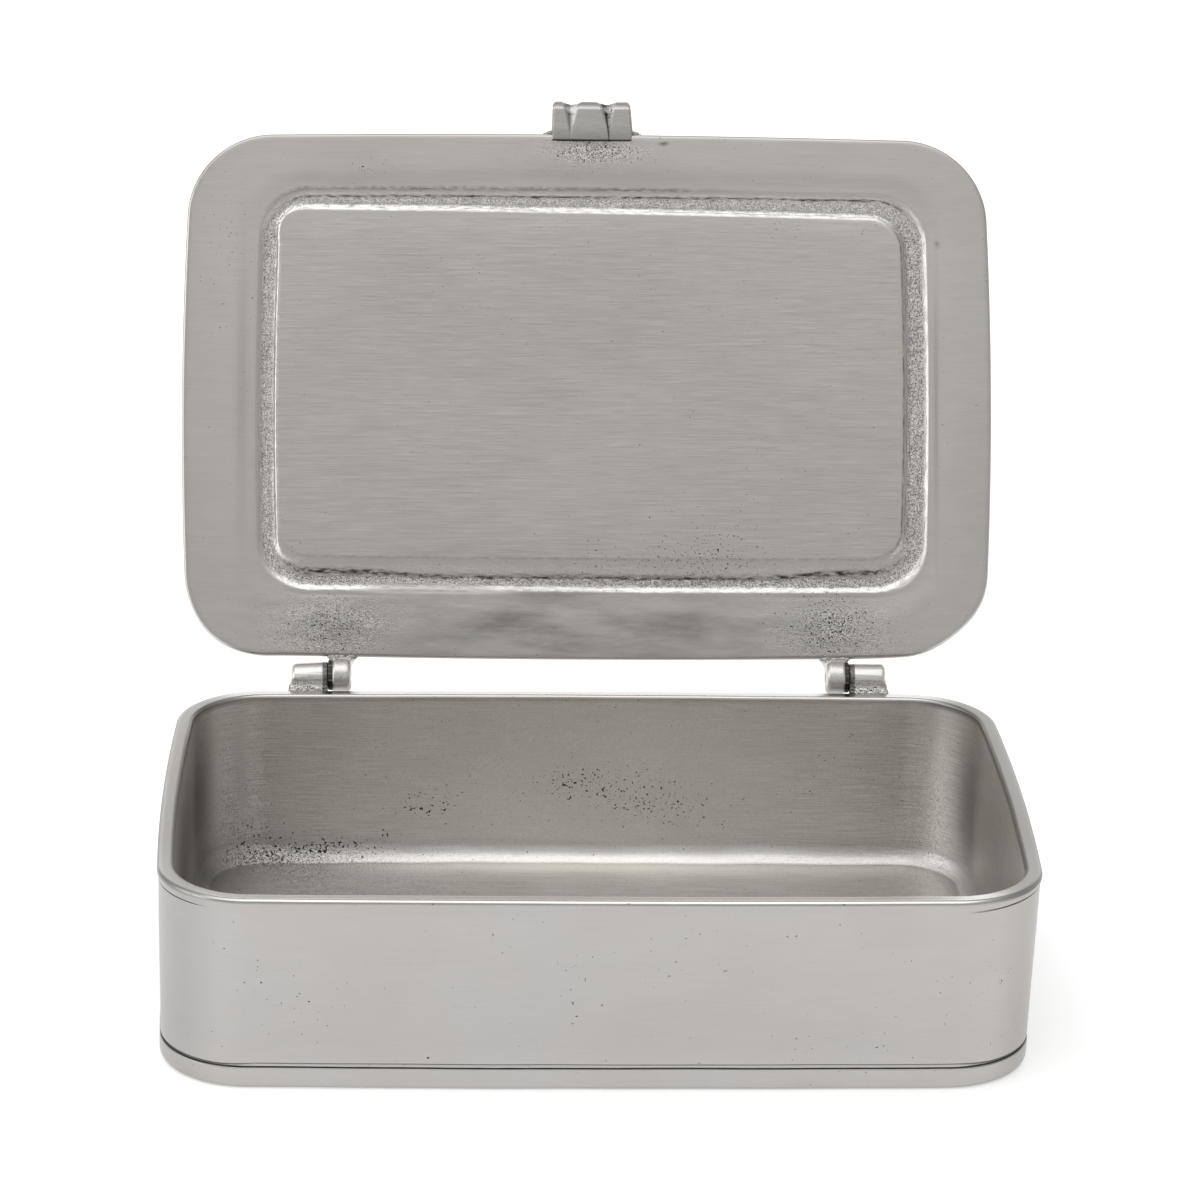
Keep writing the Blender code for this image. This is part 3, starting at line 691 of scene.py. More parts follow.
def pewter(name, metal, roughness, stroke, contrast, pit_spacing, grain_size, around=False):
    """Material of satin pewter, built from the shared groups.

    Stroke is the length and spacing of its strokes. They run along X, or, with around, along the ring
    that the piece's own grain values follow.
    """
    colours = settings("colours")
    nodes = new_material(name)
    place = nodes.add("ShaderNodeTexCoord").outputs["Object"]
    straight = nodes.strokes(place, stroke)
    shade, height = straight["Shade"], straight["Height"]
    if around:
        ring = nodes.strokes(nodes.mask("grain", "Vector"), stroke)
        flat = nodes.mask("flat")
        shade = nodes.between(flat, ring["Shade"], shade)
        height = nodes.between(flat, ring["Height"], height)
    pits = nodes.group("Casting pits", place=place, density=nodes.mask("pitting"), spacing=pit_spacing)
    rough = nodes.mask("casting")
    casting = nodes.group("Rough casting", place=place, amount=rough, grain_size=grain_size)
    brushing = nodes.mask("brushing")
    bright = nodes.mask("bright")
    tone = nodes.group(
        "Patina", place=place, metal=np.array(metal) * COOL_TINT, warm=np.array(metal) * WARM_TINT,
        inner=colours.inner, cast=colours.cast, oxide=colours.oxide, burnished=colours.burnished,
        worn=nodes.mask("worn"), stain=nodes.mask("stain"), cloud=nodes.mask("cloud"), pit=pits["Pit"],
        speck=casting["Speck"], casting=rough, shade=shade,
        stroke_contrast=nodes.times(brushing, contrast),
        bright=nodes.maths("MAXIMUM", bright, nodes.times(casting["Glint"], GLINT_SHARE)))
    stroke_depth = nodes.maths("ADD", SMOOTH_DEPTH, nodes.times(brushing, STROKE_DEPTH))
    relief = nodes.weighted(
        (height, stroke_depth), (pits["Height"], PIT_DEPTH), (casting["Height"], GRAIN_DEPTH))
    bump = nodes.add("ShaderNodeBump", {"Height": relief, "Distance": 1.0, "Strength": 1.0})
    satin = nodes.ramp(shade, 0.0, 1.0, roughness - GLOSS_SPREAD, roughness + GLOSS_SPREAD)
    gloss = nodes.weighted(
        (satin, 1.0), (tone["Tarnish"], 0.25), (nodes.mask("polish"), -0.10), (bright, -0.08))
    shader = nodes.add("ShaderNodeBsdfPrincipled", {
        "Base Color": tone["Colour"], "Metallic": 1.0, "Roughness": gloss, "Normal": bump.outputs[0]})
    nodes.add("ShaderNodeOutputMaterial", {"Surface": shader.outputs[0]})


def steel():
    """Material of the pins: dull drawn wire."""
    bare = settings("colours").steel
    nodes = new_material("Pin steel")
    place = nodes.add("ShaderNodeTexCoord").outputs["Object"]
    shade = nodes.strokes(place, (3.0 * MM, 0.15 * MM))["Shade"]
    shader = nodes.add("ShaderNodeBsdfPrincipled", {
        "Base Color": nodes.mix(shade, np.array(bare) * 0.6, bare),
        "Metallic": 1.0, "Roughness": nodes.ramp(shade, 0.0, 1.0, 0.34, 0.46)})
    nodes.add("ShaderNodeOutputMaterial", {"Surface": shader.outputs[0]})


class BuildFinishes(bpy.types.Operator):
    """Build the shared shader groups and the finishes of the metal"""

    bl_idname = "pewter_box.finishes"
    bl_label = "Finishes"

    def execute(self, context):
        build_stroke_group()
        build_pit_group()
        build_casting_group()
        build_patina_and_light_group()
        colours = settings("colours")
        pewter(
            "Tub pewter", colours.tub, roughness=0.36, stroke=(10.0 * MM, 0.20 * MM), contrast=0.22,
            pit_spacing=0.52 * MM, grain_size=0.32 * MM, around=True)
        pewter(
            "Lid pewter", colours.lid, roughness=0.40, stroke=(9.0 * MM, 0.20 * MM), contrast=0.11,
            pit_spacing=0.36 * MM, grain_size=0.26 * MM)
        pewter(
            "Fitting pewter", colours.fitting, roughness=0.38, stroke=(3.0 * MM, 0.25 * MM),
            contrast=0.10, pit_spacing=0.42 * MM, grain_size=0.28 * MM)
        steel()
        return {"FINISHED"}


# Tub

TUB_COUNTS = (26, 40, 50)
FLAT_ROWS = 9
WEAR_MIDDLE = 1.5 * MM
RIM_BAND = 0.9 * MM

# Marks on the tub. Each row is a place and a reach along X, Y and Z, in millimetres, and a strength.
TUB_PITS_INSIDE = (
    ((-28, 46, 13), (5, 8, 3.5), 0.52),
    ((-1, 46, 18), (9, 8, 4.0), 0.50),
    ((14, 46, 14), (11, 8, 5.0), 0.44),
    ((-36, 46, 7.5), (3, 8, 1.5), 0.44),
    ((-48, 45, 4.5), (12, 9, 2.0), 0.62),
    ((-62, 44, 7), (6, 9, 5.0), 0.36),
)
TUB_PITS_OUTSIDE = (
    ((-4, -49, 14.5), (4, 6, 3.0), 0.18),
    ((57, -49, 14), (6, 6, 3.0), 0.16),
    ((65, -46, 19), (4, 6, 4.0), 0.18),
    ((-45, -49, 17), (14, 6, 6.0), 0.10),
    ((-27, -49, 6), (6, 6, 2.0), 0.14),
    ((-20, 49, 20), (9, 6, 5.0), 0.15),
    ((34, 49, 11), (10, 6, 4.0), 0.17),
)
TUB_PIT_BASE = 0.02
TUB_ROUGH = (
    ((-57, 42, 3.2), (13, 6, 2.1), 0.72),
    ((-66, 38, 14), (8, 14, 14), 0.34),
    ((66, 38, 12), (8, 12, 12), 0.28),
    ((-50, 30, 2.5), (24, 16, 3), 0.26),
)
# Painted shade inside: darker end walls, inner corners at both ends and floor at the left end, where
# little light falls.
TUB_PAINTED_SHADE = (
    ((-72, 0, 18), (4.5, 60, 20), 0.79),
    ((-70.7, 38, 18), (2.8, 8, 16), 0.20),
    ((-63.2, 44, 20), (1.7, 5, 13), 0.20),
    ((-65, 36, 3), (6, 9, 3), 0.30),
    ((-60, 38, 3), (14, 9, 4), 0.18),
    ((72, 0, 18), (4, 60, 20), 0.52),
    ((70.5, 38, 18), (2.4, 8, 16), 0.34),
)
# Painted highlights inside: light streaks in the inner corners, a lighter rear wall and a lighter floor
# towards the rear.
TUB_PAINTED_HIGHLIGHTS = (
    ((-67.6, 42.5, 20), (1.4, 4, 13), 0.72),
    ((65.5, 42, 17), (2.2, 5, 12), 0.46),
    ((2, 46, 20), (42, 6, 24), 0.98),
    ((0, 38, 3), (54, 12, 4), 0.12),
)


def tub_outline():
    """Outline of the tub where it is widest."""
    sizes = settings("tub")
    half_x = (TUB_HIGH.x - TUB_LOW.x) / 2
    return Outline(
        half_x, TUB_LOW.y, TUB_HIGH.y, sizes.corner_radius, sizes.long_bow, sizes.end_bow, TUB_COUNTS)


def tub_rows(sizes, top):
    """Inset, height and share of each ring, from under the middle to the floor's, and which are inside.

    Formula: straight runs and arcs. At the foot of the inner wall a wide arc turns through 50 degrees,
    and a tight arc carries on into the floor.
    """
    foot_in = sizes.lip_overhang + sizes.wall_taper + sizes.base_round
    turn_down = math.radians(50)
    heading = np.radians(np.linspace(0, 90, 26))
    wide = np.minimum(heading, turn_down)
    tight = np.maximum(heading, turn_down)
    fillet_in = sizes.rim_width + sizes.inner_draft + sizes.wall_sweep * (1 - np.cos(wide))
    fillet_in += sizes.floor_turn * (math.cos(turn_down) - np.cos(tight))
    sunk = sizes.wall_sweep * np.sin(wide) + sizes.floor_turn * (np.sin(tight) - math.sin(turn_down))
    fillet_top = sizes.floor_thickness + sunk[-1]
    base = arc_rows(foot_in, sizes.base_round, sizes.base_round, 270, 180, 8)
    outer_round, inner_round = sizes.rim_outer_round, sizes.rim_inner_round
    outer_edge = arc_rows(outer_round, top - outer_round, outer_round, 180, 90, 9)
    inner_edge = arc_rows(sizes.rim_width - inner_round, top - inner_round, inner_round, 90, 0, 8)
    under_lines = sizes.line_height - 0.4 * MM
    over_lines = sizes.line_height + sizes.line_spacing + 0.3 * MM
    under_rim_line = top - sizes.rim_line_drop - 0.3 * MM
    over_rim_line = top - sizes.rim_line_drop + 0.3 * MM
    lines_z = np.concatenate([
        np.linspace(base[1][-1], under_lines, 9)[1:-1],
        np.linspace(under_lines, over_lines, 36),
        np.linspace(over_lines, under_rim_line, 22)[1:-1],
        np.linspace(under_rim_line, over_rim_line, 13),
        np.linspace(over_rim_line, top - outer_round, 10)[1:-1],
    ])
    lines_in = sizes.lip_overhang + sizes.wall_taper * (1 - lines_z / (top - sizes.lip_height))
    rim_in = np.linspace(outer_edge[0][-1], inner_edge[0][0], 6)[1:-1]
    wall_top = inner_edge[1][-1]
    wall_z = np.linspace(wall_top, fillet_top, 26)[1:-1]
    wall_in = sizes.rim_width + sizes.inner_draft * (wall_top - wall_z) / (wall_top - fillet_top)
    flat = np.ones(FLAT_ROWS)
    outer_runs = [
        (flat * base[0][0], flat * 0), base, (lines_in, lines_z), outer_edge,
        (rim_in, np.full(len(rim_in), top)),
    ]
    inner_runs = [
        inner_edge, (wall_in, wall_z), (fillet_in, fillet_top - sunk),
        (flat * fillet_in[-1], flat * sizes.floor_thickness),
    ]
    inset, height = np.concatenate(outer_runs + inner_runs, axis=1)
    flat_share = np.linspace(0.04, 1, FLAT_ROWS + 1)[:-1]
    share = np.concatenate([flat_share, np.ones(len(inset) - 2 * FLAT_ROWS), flat_share[::-1]])
    inner_start = sum(len(run[0]) for run in outer_runs)
    inside = (np.arange(len(inset)) >= inner_start)[:, None]
    return inset, height, share, inside


def groove(height, place, half_width):
    """1 on a groove's bottom line, falling to 0 at its edges."""
    return np.clip(1 - np.abs(height - place) / half_width, 0, 1)


def incised_lines(outline, level, top, ends):
    """Depth, from 0 to 1, of the lines cut into the outside of the wall.

    Formula: grooves at wavering heights. The upper line runs down into the lower one at the ends, the
    rim's line shows only near the corners, and the lip's only near the front right one.
    """
    sizes = settings("tub")
    x, y = outline.points[:, 0][None], outline.points[:, 1][None]
    spacing = sizes.line_spacing * (1 - 0.62 * ends)
    waver = 0.05 * MM * ring_waves(outline.turn, seed=3, lowest=4, waves=12)[None]
    crumbs = 1 + 0.35 * ring_waves(outline.turn, seed=4, lowest=60, waves=40)[None]
    lower = groove(level, sizes.line_height + waver, (0.22 * MM + 0.10 * MM * ends) * crumbs)
    upper = groove(level, sizes.line_height + spacing - waver, 0.10 * MM + 0.13 * MM * ends)
    at_corners = ease(np.abs(y), 14 * MM, 26 * MM)
    rim_reach = np.maximum(ease(-x, 64 * MM, 69 * MM), ease(x, 57 * MM, 69 * MM)) * at_corners
    rim_slope = 0.25 * MM * ease(x, 57 * MM, 72 * MM)
    rim_place = top - sizes.rim_line_drop + waver + rim_slope
    rim_line = groove(level, rim_place, 0.15 * MM * crumbs) * rim_reach
    lip_reach = ease(x, 67 * MM, 71 * MM) * ease(-y, 22 * MM, 30 * MM)
    lip_line = groove(level, top - 0.55 * MM + waver, 0.13 * MM) * lip_reach
    return np.maximum(np.maximum(lower, 0.75 * upper), np.maximum(rim_line, 0.6 * lip_line))


class BuildTub(bpy.types.Operator):
    """Build the tub with its rim, incised lines and uneven inside"""

    bl_idname = "pewter_box.tub"
    bl_label = "Tub"

    def execute(self, context):
        sizes = settings("tub")
        outline = tub_outline()
        top = TUB_HIGH.z
        inset, height, share, inside = tub_rows(sizes, top)
        z = height[:, None]
        level = np.ones_like(outline.turn)[None] * z
        x, y = outline.points[:, 0][None], outline.points[:, 1][None]
        outside = ~inside
        walls = (share == 1)[:, None]
        off_middle = np.abs(x - WEAR_MIDDLE)
        ends = ease(off_middle, 58 * MM, 66 * MM)
        lines = incised_lines(outline, level, top, ends) * outside

        lip = ease(level, top - sizes.lip_height, top - sizes.rim_outer_round) * outside
        lip_fade = 0.45 + 0.55 * ends
        foot = 1 - ease(level, sizes.line_height - 0.25 * MM, sizes.line_height)
        on_wall = outside & walls & (level < top - sizes.rim_outer_round)
        offset = np.broadcast_to(inset[:, None], level.shape).copy()
        offset -= np.where(on_wall, sizes.lip_overhang * lip * lip_fade, 0)
        offset += np.where(outside & walls & ~on_wall, sizes.lip_overhang * (1 - lip_fade), 0)
        offset -= sizes.foot_flare * foot * (outside & walls)
        offset += sizes.line_depth * lines
        bend = drift(outline.turn[None] * 74 * MM, level, cell=34 * MM, seed=11)
        on_rim = ease(level, top - 3.0 * MM, top - 1.0 * MM)
        offset += sizes.unevenness * bend * np.where(inside, 1.6, 0.55) * walls * (1 - 0.7 * on_rim)
        low_inside = inside * (1 - ease(level, 6 * MM, 14 * MM))
        offset += low_inside * 0.22 * MM * ring_waves(outline.turn, seed=5, lowest=5, waves=12)[None]
        rim_wave = 0.05 * MM * ring_waves(outline.turn, seed=8, lowest=2, waves=6)[None]
        level = level + rim_wave * ease(level, 20 * MM, 30 * MM)
        grid = outline.rings(offset, level, share)
        grid[..., 0] -= outside * sizes.foot_shift * (1 - level / top)
        floor = inside & (z < sizes.floor_thickness + 2.5 * MM)
        dents = drift(grid[..., 0], grid[..., 1], cell=22 * MM, seed=17)
        grid[..., 2] += floor * 0.09 * MM * dents * (1 - ease(z, sizes.floor_thickness, 8 * MM))

        steps = np.linalg.norm(np.diff(grid, axis=0, prepend=grid[:1]), axis=-1)
        down = np.broadcast_to(np.cumsum(steps.mean(axis=1))[:, None], steps.shape)
        around = np.broadcast_to(outline.turn * (outline.perimeter / (2 * math.pi)), steps.shape)
        edge_in = inside & (z > top - sizes.rim_inner_round * 1.2)
        rim_start = top - RIM_BAND
        rim = z > rim_start
        inner_skin = inside & ~rim
        at_front = ease(-y, 20 * MM, 40 * MM)
        # Darker rim towards both ends; painted shade on the inner end walls and corners and on the outer
        # corners.
        rim_dark = 0.42 * ease(-x, 62 * MM, 71 * MM) + 0.53 * ease(x, 62 * MM, 71 * MM)
        painted_shade = inside * spots(grid, TUB_PAINTED_SHADE)
        painted_shade = painted_shade + 0.16 * outside * ease(off_middle, 63 * MM, 72 * MM) * (level < rim_start)
        # Painted highlights: the listed spots inside, the rim's inner edge, a lighter foot band and the
        # rim's outer edge at the front.
        painted_highlight = inside * spots(grid, TUB_PAINTED_HIGHLIGHTS) * ~rim
        painted_highlight = painted_highlight + edge_in * (0.45 + 0.55 * at_front) * (1 - 0.9 * ends)
        painted_highlight = painted_highlight + 0.06 * outside * (1 - ease(level, 3 * MM, 10 * MM))
        edge_out = outside * bell(level, top - 0.22 * MM, 0.22 * MM)
        painted_highlight = painted_highlight + 0.8 * edge_out * at_front * (1 - 0.6 * ends)
        masks = {
            "grain": np.stack([around, down, np.zeros(steps.shape)], axis=-1),
            "flat": ~walls * 1.0,
            # Real oxide in the incised lines, with the darker rim ends and painted shade.
            "stain": np.clip(ease(lines, 0.15, 0.8) * 0.92 + np.where(rim, rim_dark, painted_shade), 0, 1),
            "cloud": np.where(inner_skin, 0.07, 0.025),
            "pitting": TUB_PIT_BASE + np.where(
                inside, 0.05 + spots(grid, TUB_PITS_INSIDE), spots(grid, TUB_PITS_OUTSIDE)),
            "casting": inner_skin * (0.14 + spots(grid, TUB_ROUGH)),
            "bright": np.clip(painted_highlight, 0, 1),
            "brushing": np.where(inner_skin, 1.0, 0.14),
            "polish": np.where(rim | edge_in, 1.0, 0.55 * outside),
            # Painted light: the lighter inner copy of the metal over the inside, less of it on the floor.
            "worn": inner_skin * (0.45 + 0.55 * ease(level, 3.2 * MM, 9 * MM)),
        }
        mesh = closed_rings("tub", grid, masks)
        add_piece("tub_skin", mesh, "Tub pewter", "tub", "pewter_tub", "box_body")
        return {"FINISHED"}


# Lid

LID_COUNTS = (44, 40, 96)

# Marks on the shut lid's underside. Each row is a place and a reach along X and Y, in millimetres, and a
# strength.
LID_PITS = (
    ((46, 43), (10, 7), 0.56),
    ((-46, 44), (9, 6), 0.48),
    ((2, -46), (10, 4), 0.50),
    ((24, 28), (12, 9), 0.22),
    ((38, -31), (5, 3), 0.22),
    ((52, -31), (4, 3), 0.25),
    ((-65, -28), (4, 14), 0.20),
    ((-42, -42), (3, 2), 0.35),
    ((-18, -20), (8, 6), 0.10),
    ((14, 31), (26, 5), 0.25),
)
# Dark marks: scratches and spots near the front corners and edge, a dark line along the thumbpiece's foot,
# a streak on the border beside each end of the channel, the left one painted shade where the border slopes
# in, and wide faint bands at the rear and in the front middle.
LID_DARK_MARKS = (
    ((-71.9, -40.6), (0.35, 1.1), 0.95),
    ((-70.6, -42.2), (1.2, 0.8), 0.30),
    ((58, -48.6), (5.0, 0.6), 0.40),
    ((1.1, -47.3), (8.5, 0.8), 0.42),
    ((14.4, -47.2), (0.8, 0.35), 0.80),
    ((65.5, -28.8), (0.4, 0.4), 0.60),
    ((65.2, 2), (0.5, 24), 0.30),
    ((-63.6, 0), (1.1, 26), 0.20),
    ((0, 48), (58, 7), 0.10),
    ((-8, -16), (50, 20), 0.10),
)
# Painted sheen: lighter patches on the border at both ends and at the right rear.
LID_PAINTED_SHEEN = (
    ((-66, 0), (5, 44), 0.10),
    ((66, 4), (5, 38), 0.12),
    ((52, 40), (16, 7), 0.16),
)
LID_ROUGH = (
    ((1.2, -45.8), (8.5, 2.6), 0.95),
    ((46, 43.5), (12, 6), 0.80),
    ((-46, 43.0), (12, 7), 0.80),
    ((40, 33), (12, 4), 0.20),
)
LID_CLOUDS = (
    ((0, 43), (40, 8), 0.58),
    ((-46, 42), (14, 6), 0.30),
    ((46, 42), (14, 7), 0.14),
    ((0, -44), (12, 6), 0.20),
)
PANEL_SHARES = np.array([
    0.03, 0.12, 0.22, 0.32, 0.42, 0.52, 0.62, 0.71, 0.79, 0.86, 0.91, 0.95, 0.975, 0.99])
LID_DENT = 0.035 * MM


def panel_step(sides, x):
    """Place across the channel of the step beside the panel.

    It runs askew at the front, and further out in the two corners at the left, which are tighter.
    """
    front, rear, left = sides[:3]
    return 0.10 + front * (0.15 - 2.0 * x) + 0.80 * left * (front + rear)


def crisp_rear(x):
    """Share, along the rear of the channel, of its border's edge that is crisp and carries a painted
    highlight.
    """
    return np.maximum(ease(-x, 36 * MM, 46 * MM), ease(x, -22 * MM, -6 * MM))


def channel_sides(outward):
    """Shares of front, rear, left and right in the directions that an outline faces."""
    x, y = outward.T[:, None]
    return [np.clip(towards, 0, 1) ** 2 for towards in (-y, y, -x, x)]


def channel_shape(q, sides, x):
    """Depth, from 0 to 1, across the channel at q, 0 at the panel and 1 at the border.

    Formula: sums of eased steps. At the front the outer side comes down in two steps, at the rear the
    panel's side does, and the ends have one step on each side. The four sides' shares blend them.
    """
    front, rear, left, right = sides
    step = panel_step(sides, x)
    crisp = crisp_rear(x)
    low_step = ease(q, step - 0.10 - 0.04 * front, step + 0.10 + 0.03 * front)
    at_front = low_step - 0.74 * ease(q, 0.61, 0.74) - 0.26 * ease(q, 0.80, 1.0)
    at_rear = 0.24 * ease(q, 0.0, 0.24) + 0.76 * ease(q, 0.38, 0.54)
    at_rear -= crisp * ease(q, 0.68, 0.89) + (1 - crisp) * ease(q, 0.56, 1.0)
    at_left = low_step - ease(q, 0.62, 1.0)
    at_right = ease(q, 0.02, 0.32) - ease(q, 0.74, 1.0)
    return front * at_front + rear * at_rear + left * at_left + right * at_right


def channel_light_and_shade(q, sides, x):
    """Painted highlights and painted shade across the channel at q, as two masks: light lines where its
    walls catch the light and dark lines in its creases.

    Formula: bell curves across q, blended by the four sides' shares. The rear's shade line lies closer
    to the panel towards both ends, and its highlight fades out twice.
    """
    front, rear, left, right = sides

    def line(place, half):
        return bell(q, place, half)

    step = panel_step(sides, x)
    far = ease(np.abs(x - 2 * MM), 28 * MM, 46 * MM)
    painted_highlight = 0.20 + 0.80 * crisp_rear(x)
    bright = (1.75 * front + 2.0 * left) * line(step, 0.085)
    bright += rear * 1.9 * painted_highlight * line(0.79, 0.065)
    bright += right * 0.75 * line(0.90, 0.05)
    wavy = 1 - ease(x, 10 * MM, 34 * MM)
    painted_shade = front * (0.42 * wavy * line(0.97, 0.07) + 0.80 * line(0.71, 0.035))
    painted_shade += front * 0.40 * line(step + 0.13, 0.03)
    painted_shade += rear * (0.22 * line(0.0, 0.06) + 0.80 * line(0.51 - 0.14 * far, 0.045 + 0.04 * far))
    painted_shade += rear * 0.25 * (1 - painted_highlight) * line(0.79, 0.12) + right * 0.55 * line(0.06, 0.035)
    return bright, painted_shade


def lid_faces():
    """Heights of the shut lid's underside and top, in the hinge's frame."""
    lid = settings("lid")
    under = TUB_HIGH.z + lid.seat_gap - HINGE_PLACE[2]
    return under, under + lid.thickness


def lid_outlines(sizes):
    """Outlines of the plate, the channel's outer edge and the panel, in the hinge's frame."""
    tub = settings("tub")
    half_x = (TUB_HIGH.x - TUB_LOW.x) / 2 + sizes.overhang
    front = TUB_LOW.y - HINGE_PLACE[1]
    rear = TUB_HIGH.y - HINGE_PLACE[1]
    plate = Outline(
        half_x, front, rear, tub.corner_radius, tub.long_bow, tub.end_bow, LID_COUNTS, sizes.side_shift)
    filed_off = 0.8 * MM * spot(plate.points, (68, -7), (9, 6))
    filed_off -= 0.6 * MM * spot(plate.points, (-68, -7), (9, 6))
    plate.points = plate.points - plate.outward * filed_off[:, None]
    bows = (sizes.channel_bow, sizes.channel_end_bow, LID_COUNTS)
    half_x -= sizes.border_end
    front += sizes.border_front
    rear -= sizes.border_rear
    outer = Outline(half_x, front, rear, sizes.outer_corner, *bows, sizes.outer_shift)
    inner = Outline(
        half_x - sizes.channel_end, front + sizes.channel_front, rear - sizes.channel_rear,
        sizes.inner_corner, *bows, sizes.inner_shift)
    return plate, outer, inner


class BuildLid(bpy.types.Operator):
    """Build the lid with the channel under it and the bead on top"""

    bl_idname = "pewter_box.lid"
    bl_label = "Lid"

    def execute(self, context):
        sizes = settings("lid")
        under, top = lid_faces()
        plate, outer, inner = lid_outlines(sizes)
        panel = between(inner.middle, inner.points, PANEL_SHARES)
        panel_edge = ease(PANEL_SHARES, 0.90, 1.0)[:, None] * 0.05 * MM
        q = np.linspace(0, 1, 46)
        channel = between(inner.points, outer.points, q)
        wander = 0.030 * ring_waves(plate.turn, seed=21, lowest=5, waves=14)[None]
        ragged = 0.016 * grains(channel.shape[:2], blur=1, seed=33)
        wandering_q = q[:, None] + (wander + ragged) * np.sin(math.pi * q)[:, None]
        sides = channel_sides(inner.outward)
        front, rear, left, right = sides
        depth = channel_shape(wandering_q, sides, channel[..., 0])
        under_round, top_round = sizes.under_round, sizes.top_round
        rim_in, rim_z = arc_rows(under_round, under + under_round, under_round, 270, 180, 7)
        rim_points = plate.points - plate.outward * rim_in[0]
        border = between(outer.points, rim_points, np.linspace(0, 1, 19)[1:])
        reach = np.linalg.norm(border - outer.points, axis=-1)
        hollow = (1 - ease(reach, 0, 4.2 * MM)) * 0.16 * MM

        skin_depth = sizes.channel_depth * depth * (1 - 0.4 * (front + rear))
        casting = np.maximum(ease(depth, 0.55, 0.92), 0.30 * ease(depth, 0.10, 0.30))
        lumps = grains(depth.shape, blur=2, seed=31) * 0.035 * MM * casting
        edge_wave = 0.05 * MM * ring_waves(plate.turn, seed=27, lowest=9, waves=30)[None]
        edge_wave = edge_wave * ease(depth, 0.05, 0.5)
        base_in = (panel_edge[-1] + (hollow[0] - panel_edge[-1]) * q[:, None]) * (1 - ease(depth, 0, 1))
        lower = np.concatenate([
            at_height(panel, under + panel_edge),
            at_height(channel, under + base_in + skin_depth + lumps + edge_wave),
            at_height(border, under + hollow),
        ])
        lower[..., 2] += LID_DENT * drift(lower[..., 0], lower[..., 1], cell=30 * MM, seed=41)
        side_in, side_z = arc_rows(top_round, top - top_round, top_round, 180, 90, 9)
        edge = plate.rings(np.concatenate([rim_in[1:], side_in]), np.concatenate([rim_z[1:], side_z]))
        fade = np.linspace(1, 0, len(rim_in))[:, None]
        edge[:len(rim_in), :, 2] += (lower[-1, :, 2] - under) * fade
        crown_outer = outer.points + outer.outward * sizes.bead_margin
        crown_inner = inner.points - inner.outward * sizes.bead_margin
        top_edge = plate.points - plate.outward * side_in[-1]
        p = np.linspace(0, 1, 22)
        rise = sizes.bead_height * (ease(p, 0, 0.46) - ease(p, 0.54, 1))[:, None]
        upper = np.concatenate([
            at_height(between(top_edge, crown_outer, np.linspace(0, 1, 9)[1:-1]), top),
            at_height(between(crown_outer, crown_inner, p), top + rise),
            at_height(between(inner.middle, crown_inner, np.linspace(1, 0.03, 11)[1:]), top),
        ])
        upper[..., 2] += LID_DENT * drift(upper[..., 0], upper[..., 1], cell=26 * MM, seed=43) * 1.3
        grid = np.concatenate([lower, edge, upper])

        place = grid[..., :2] + (0, HINGE_PLACE[1])
        underside = np.zeros((len(grid), 1))
        underside[:len(lower)] = 1
        in_channel = slice(len(panel), len(panel) + len(channel))
        cast = underside * spots(place, LID_ROUGH)
        cast[in_channel] = casting * (1 - 0.40 * front - 0.25 * rear - 0.35 * left - 0.25 * right)
        crumbs = np.clip(0.85 + 0.40 * grains(depth.shape, blur=1, seed=35), 0.1, 1.5)
        # Painted highlights and painted shade in the channel.
        channel_highlights, channel_shade_lines = channel_light_and_shade(wandering_q, sides, channel[..., 0])
        bright = underside * spots(place, LID_PAINTED_SHEEN)
        bright[in_channel] = np.clip(channel_highlights * crumbs, 0, 1)
        stain = underside * spots(place, LID_DARK_MARKS)
        stain[in_channel] += np.clip(channel_shade_lines * crumbs, 0, 1)
        brushing = np.full((len(grid), 1), 0.40)
        brushing[:len(panel)] = 1.0
        brushing[in_channel] = 0.2
        polish = np.full((len(grid), 1), 0.25)
        polish[len(lower) - 1:len(lower) + len(edge)] = 1.0
        masks = {
            "stain": np.clip(stain, 0, 1),
            "cloud": 0.05 + underside * spots(place, LID_CLOUDS),
            "pitting": 0.02 + underside * spots(place, LID_PITS),
            "casting": cast,
            "bright": bright,
            "brushing": brushing,
            "polish": polish,
        }
        mesh = closed_rings("lid", swing_open(grid), masks)
        add_piece("lid_skin", mesh, "Lid pewter", "lid", "pewter_lid", "lid")
        return {"FINISHED"}


# Hinges

HINGE_VOXEL = 0.11 * MM
THUMB_VOXEL = 0.09 * MM
BARREL_SIDES = 64
PIN_SIDES = 40
ROD_SIDES = 16


def rounded_section(low_u, high_u, low_v, high_v, edge_round):
    """Points round a rectangle with rounded corners, as two arrays."""
    low_u, high_u = low_u + edge_round, high_u - edge_round
    low_v, high_v = low_v + edge_round, high_v - edge_round
    centres = ((high_u, high_v), (low_u, high_v), (low_u, low_v), (high_u, low_v))
    turns = [arc_rows(*centre, edge_round, 90 * i, 90 * i + 90, 6) for i, centre in enumerate(centres)]
    return np.concatenate(turns, axis=1)


def upright_shell(side, stations, edge_round):
    """Closed shell through level sections, each with its height and its ends along X and along Y."""
    rings = []
    for z, low_x, high_x, near_y, far_y in stations:
        x, y = rounded_section(low_x, high_x, near_y, far_y, edge_round)
        rings.append(np.stack([side * x, y, np.full(len(x), z)], axis=-1))
    return shell_rings(np.array(rings))


def turned(x, radius, count, centre_y, centre_z):
    """Grid of circles across X, from their places along it and their radii."""
    turn = circle(count)
    return np.stack([
        np.broadcast_to(x[:, None], (len(x), count)),
        centre_y + radius[:, None] * np.cos(turn), centre_z + radius[:, None] * np.sin(turn)], axis=-1)


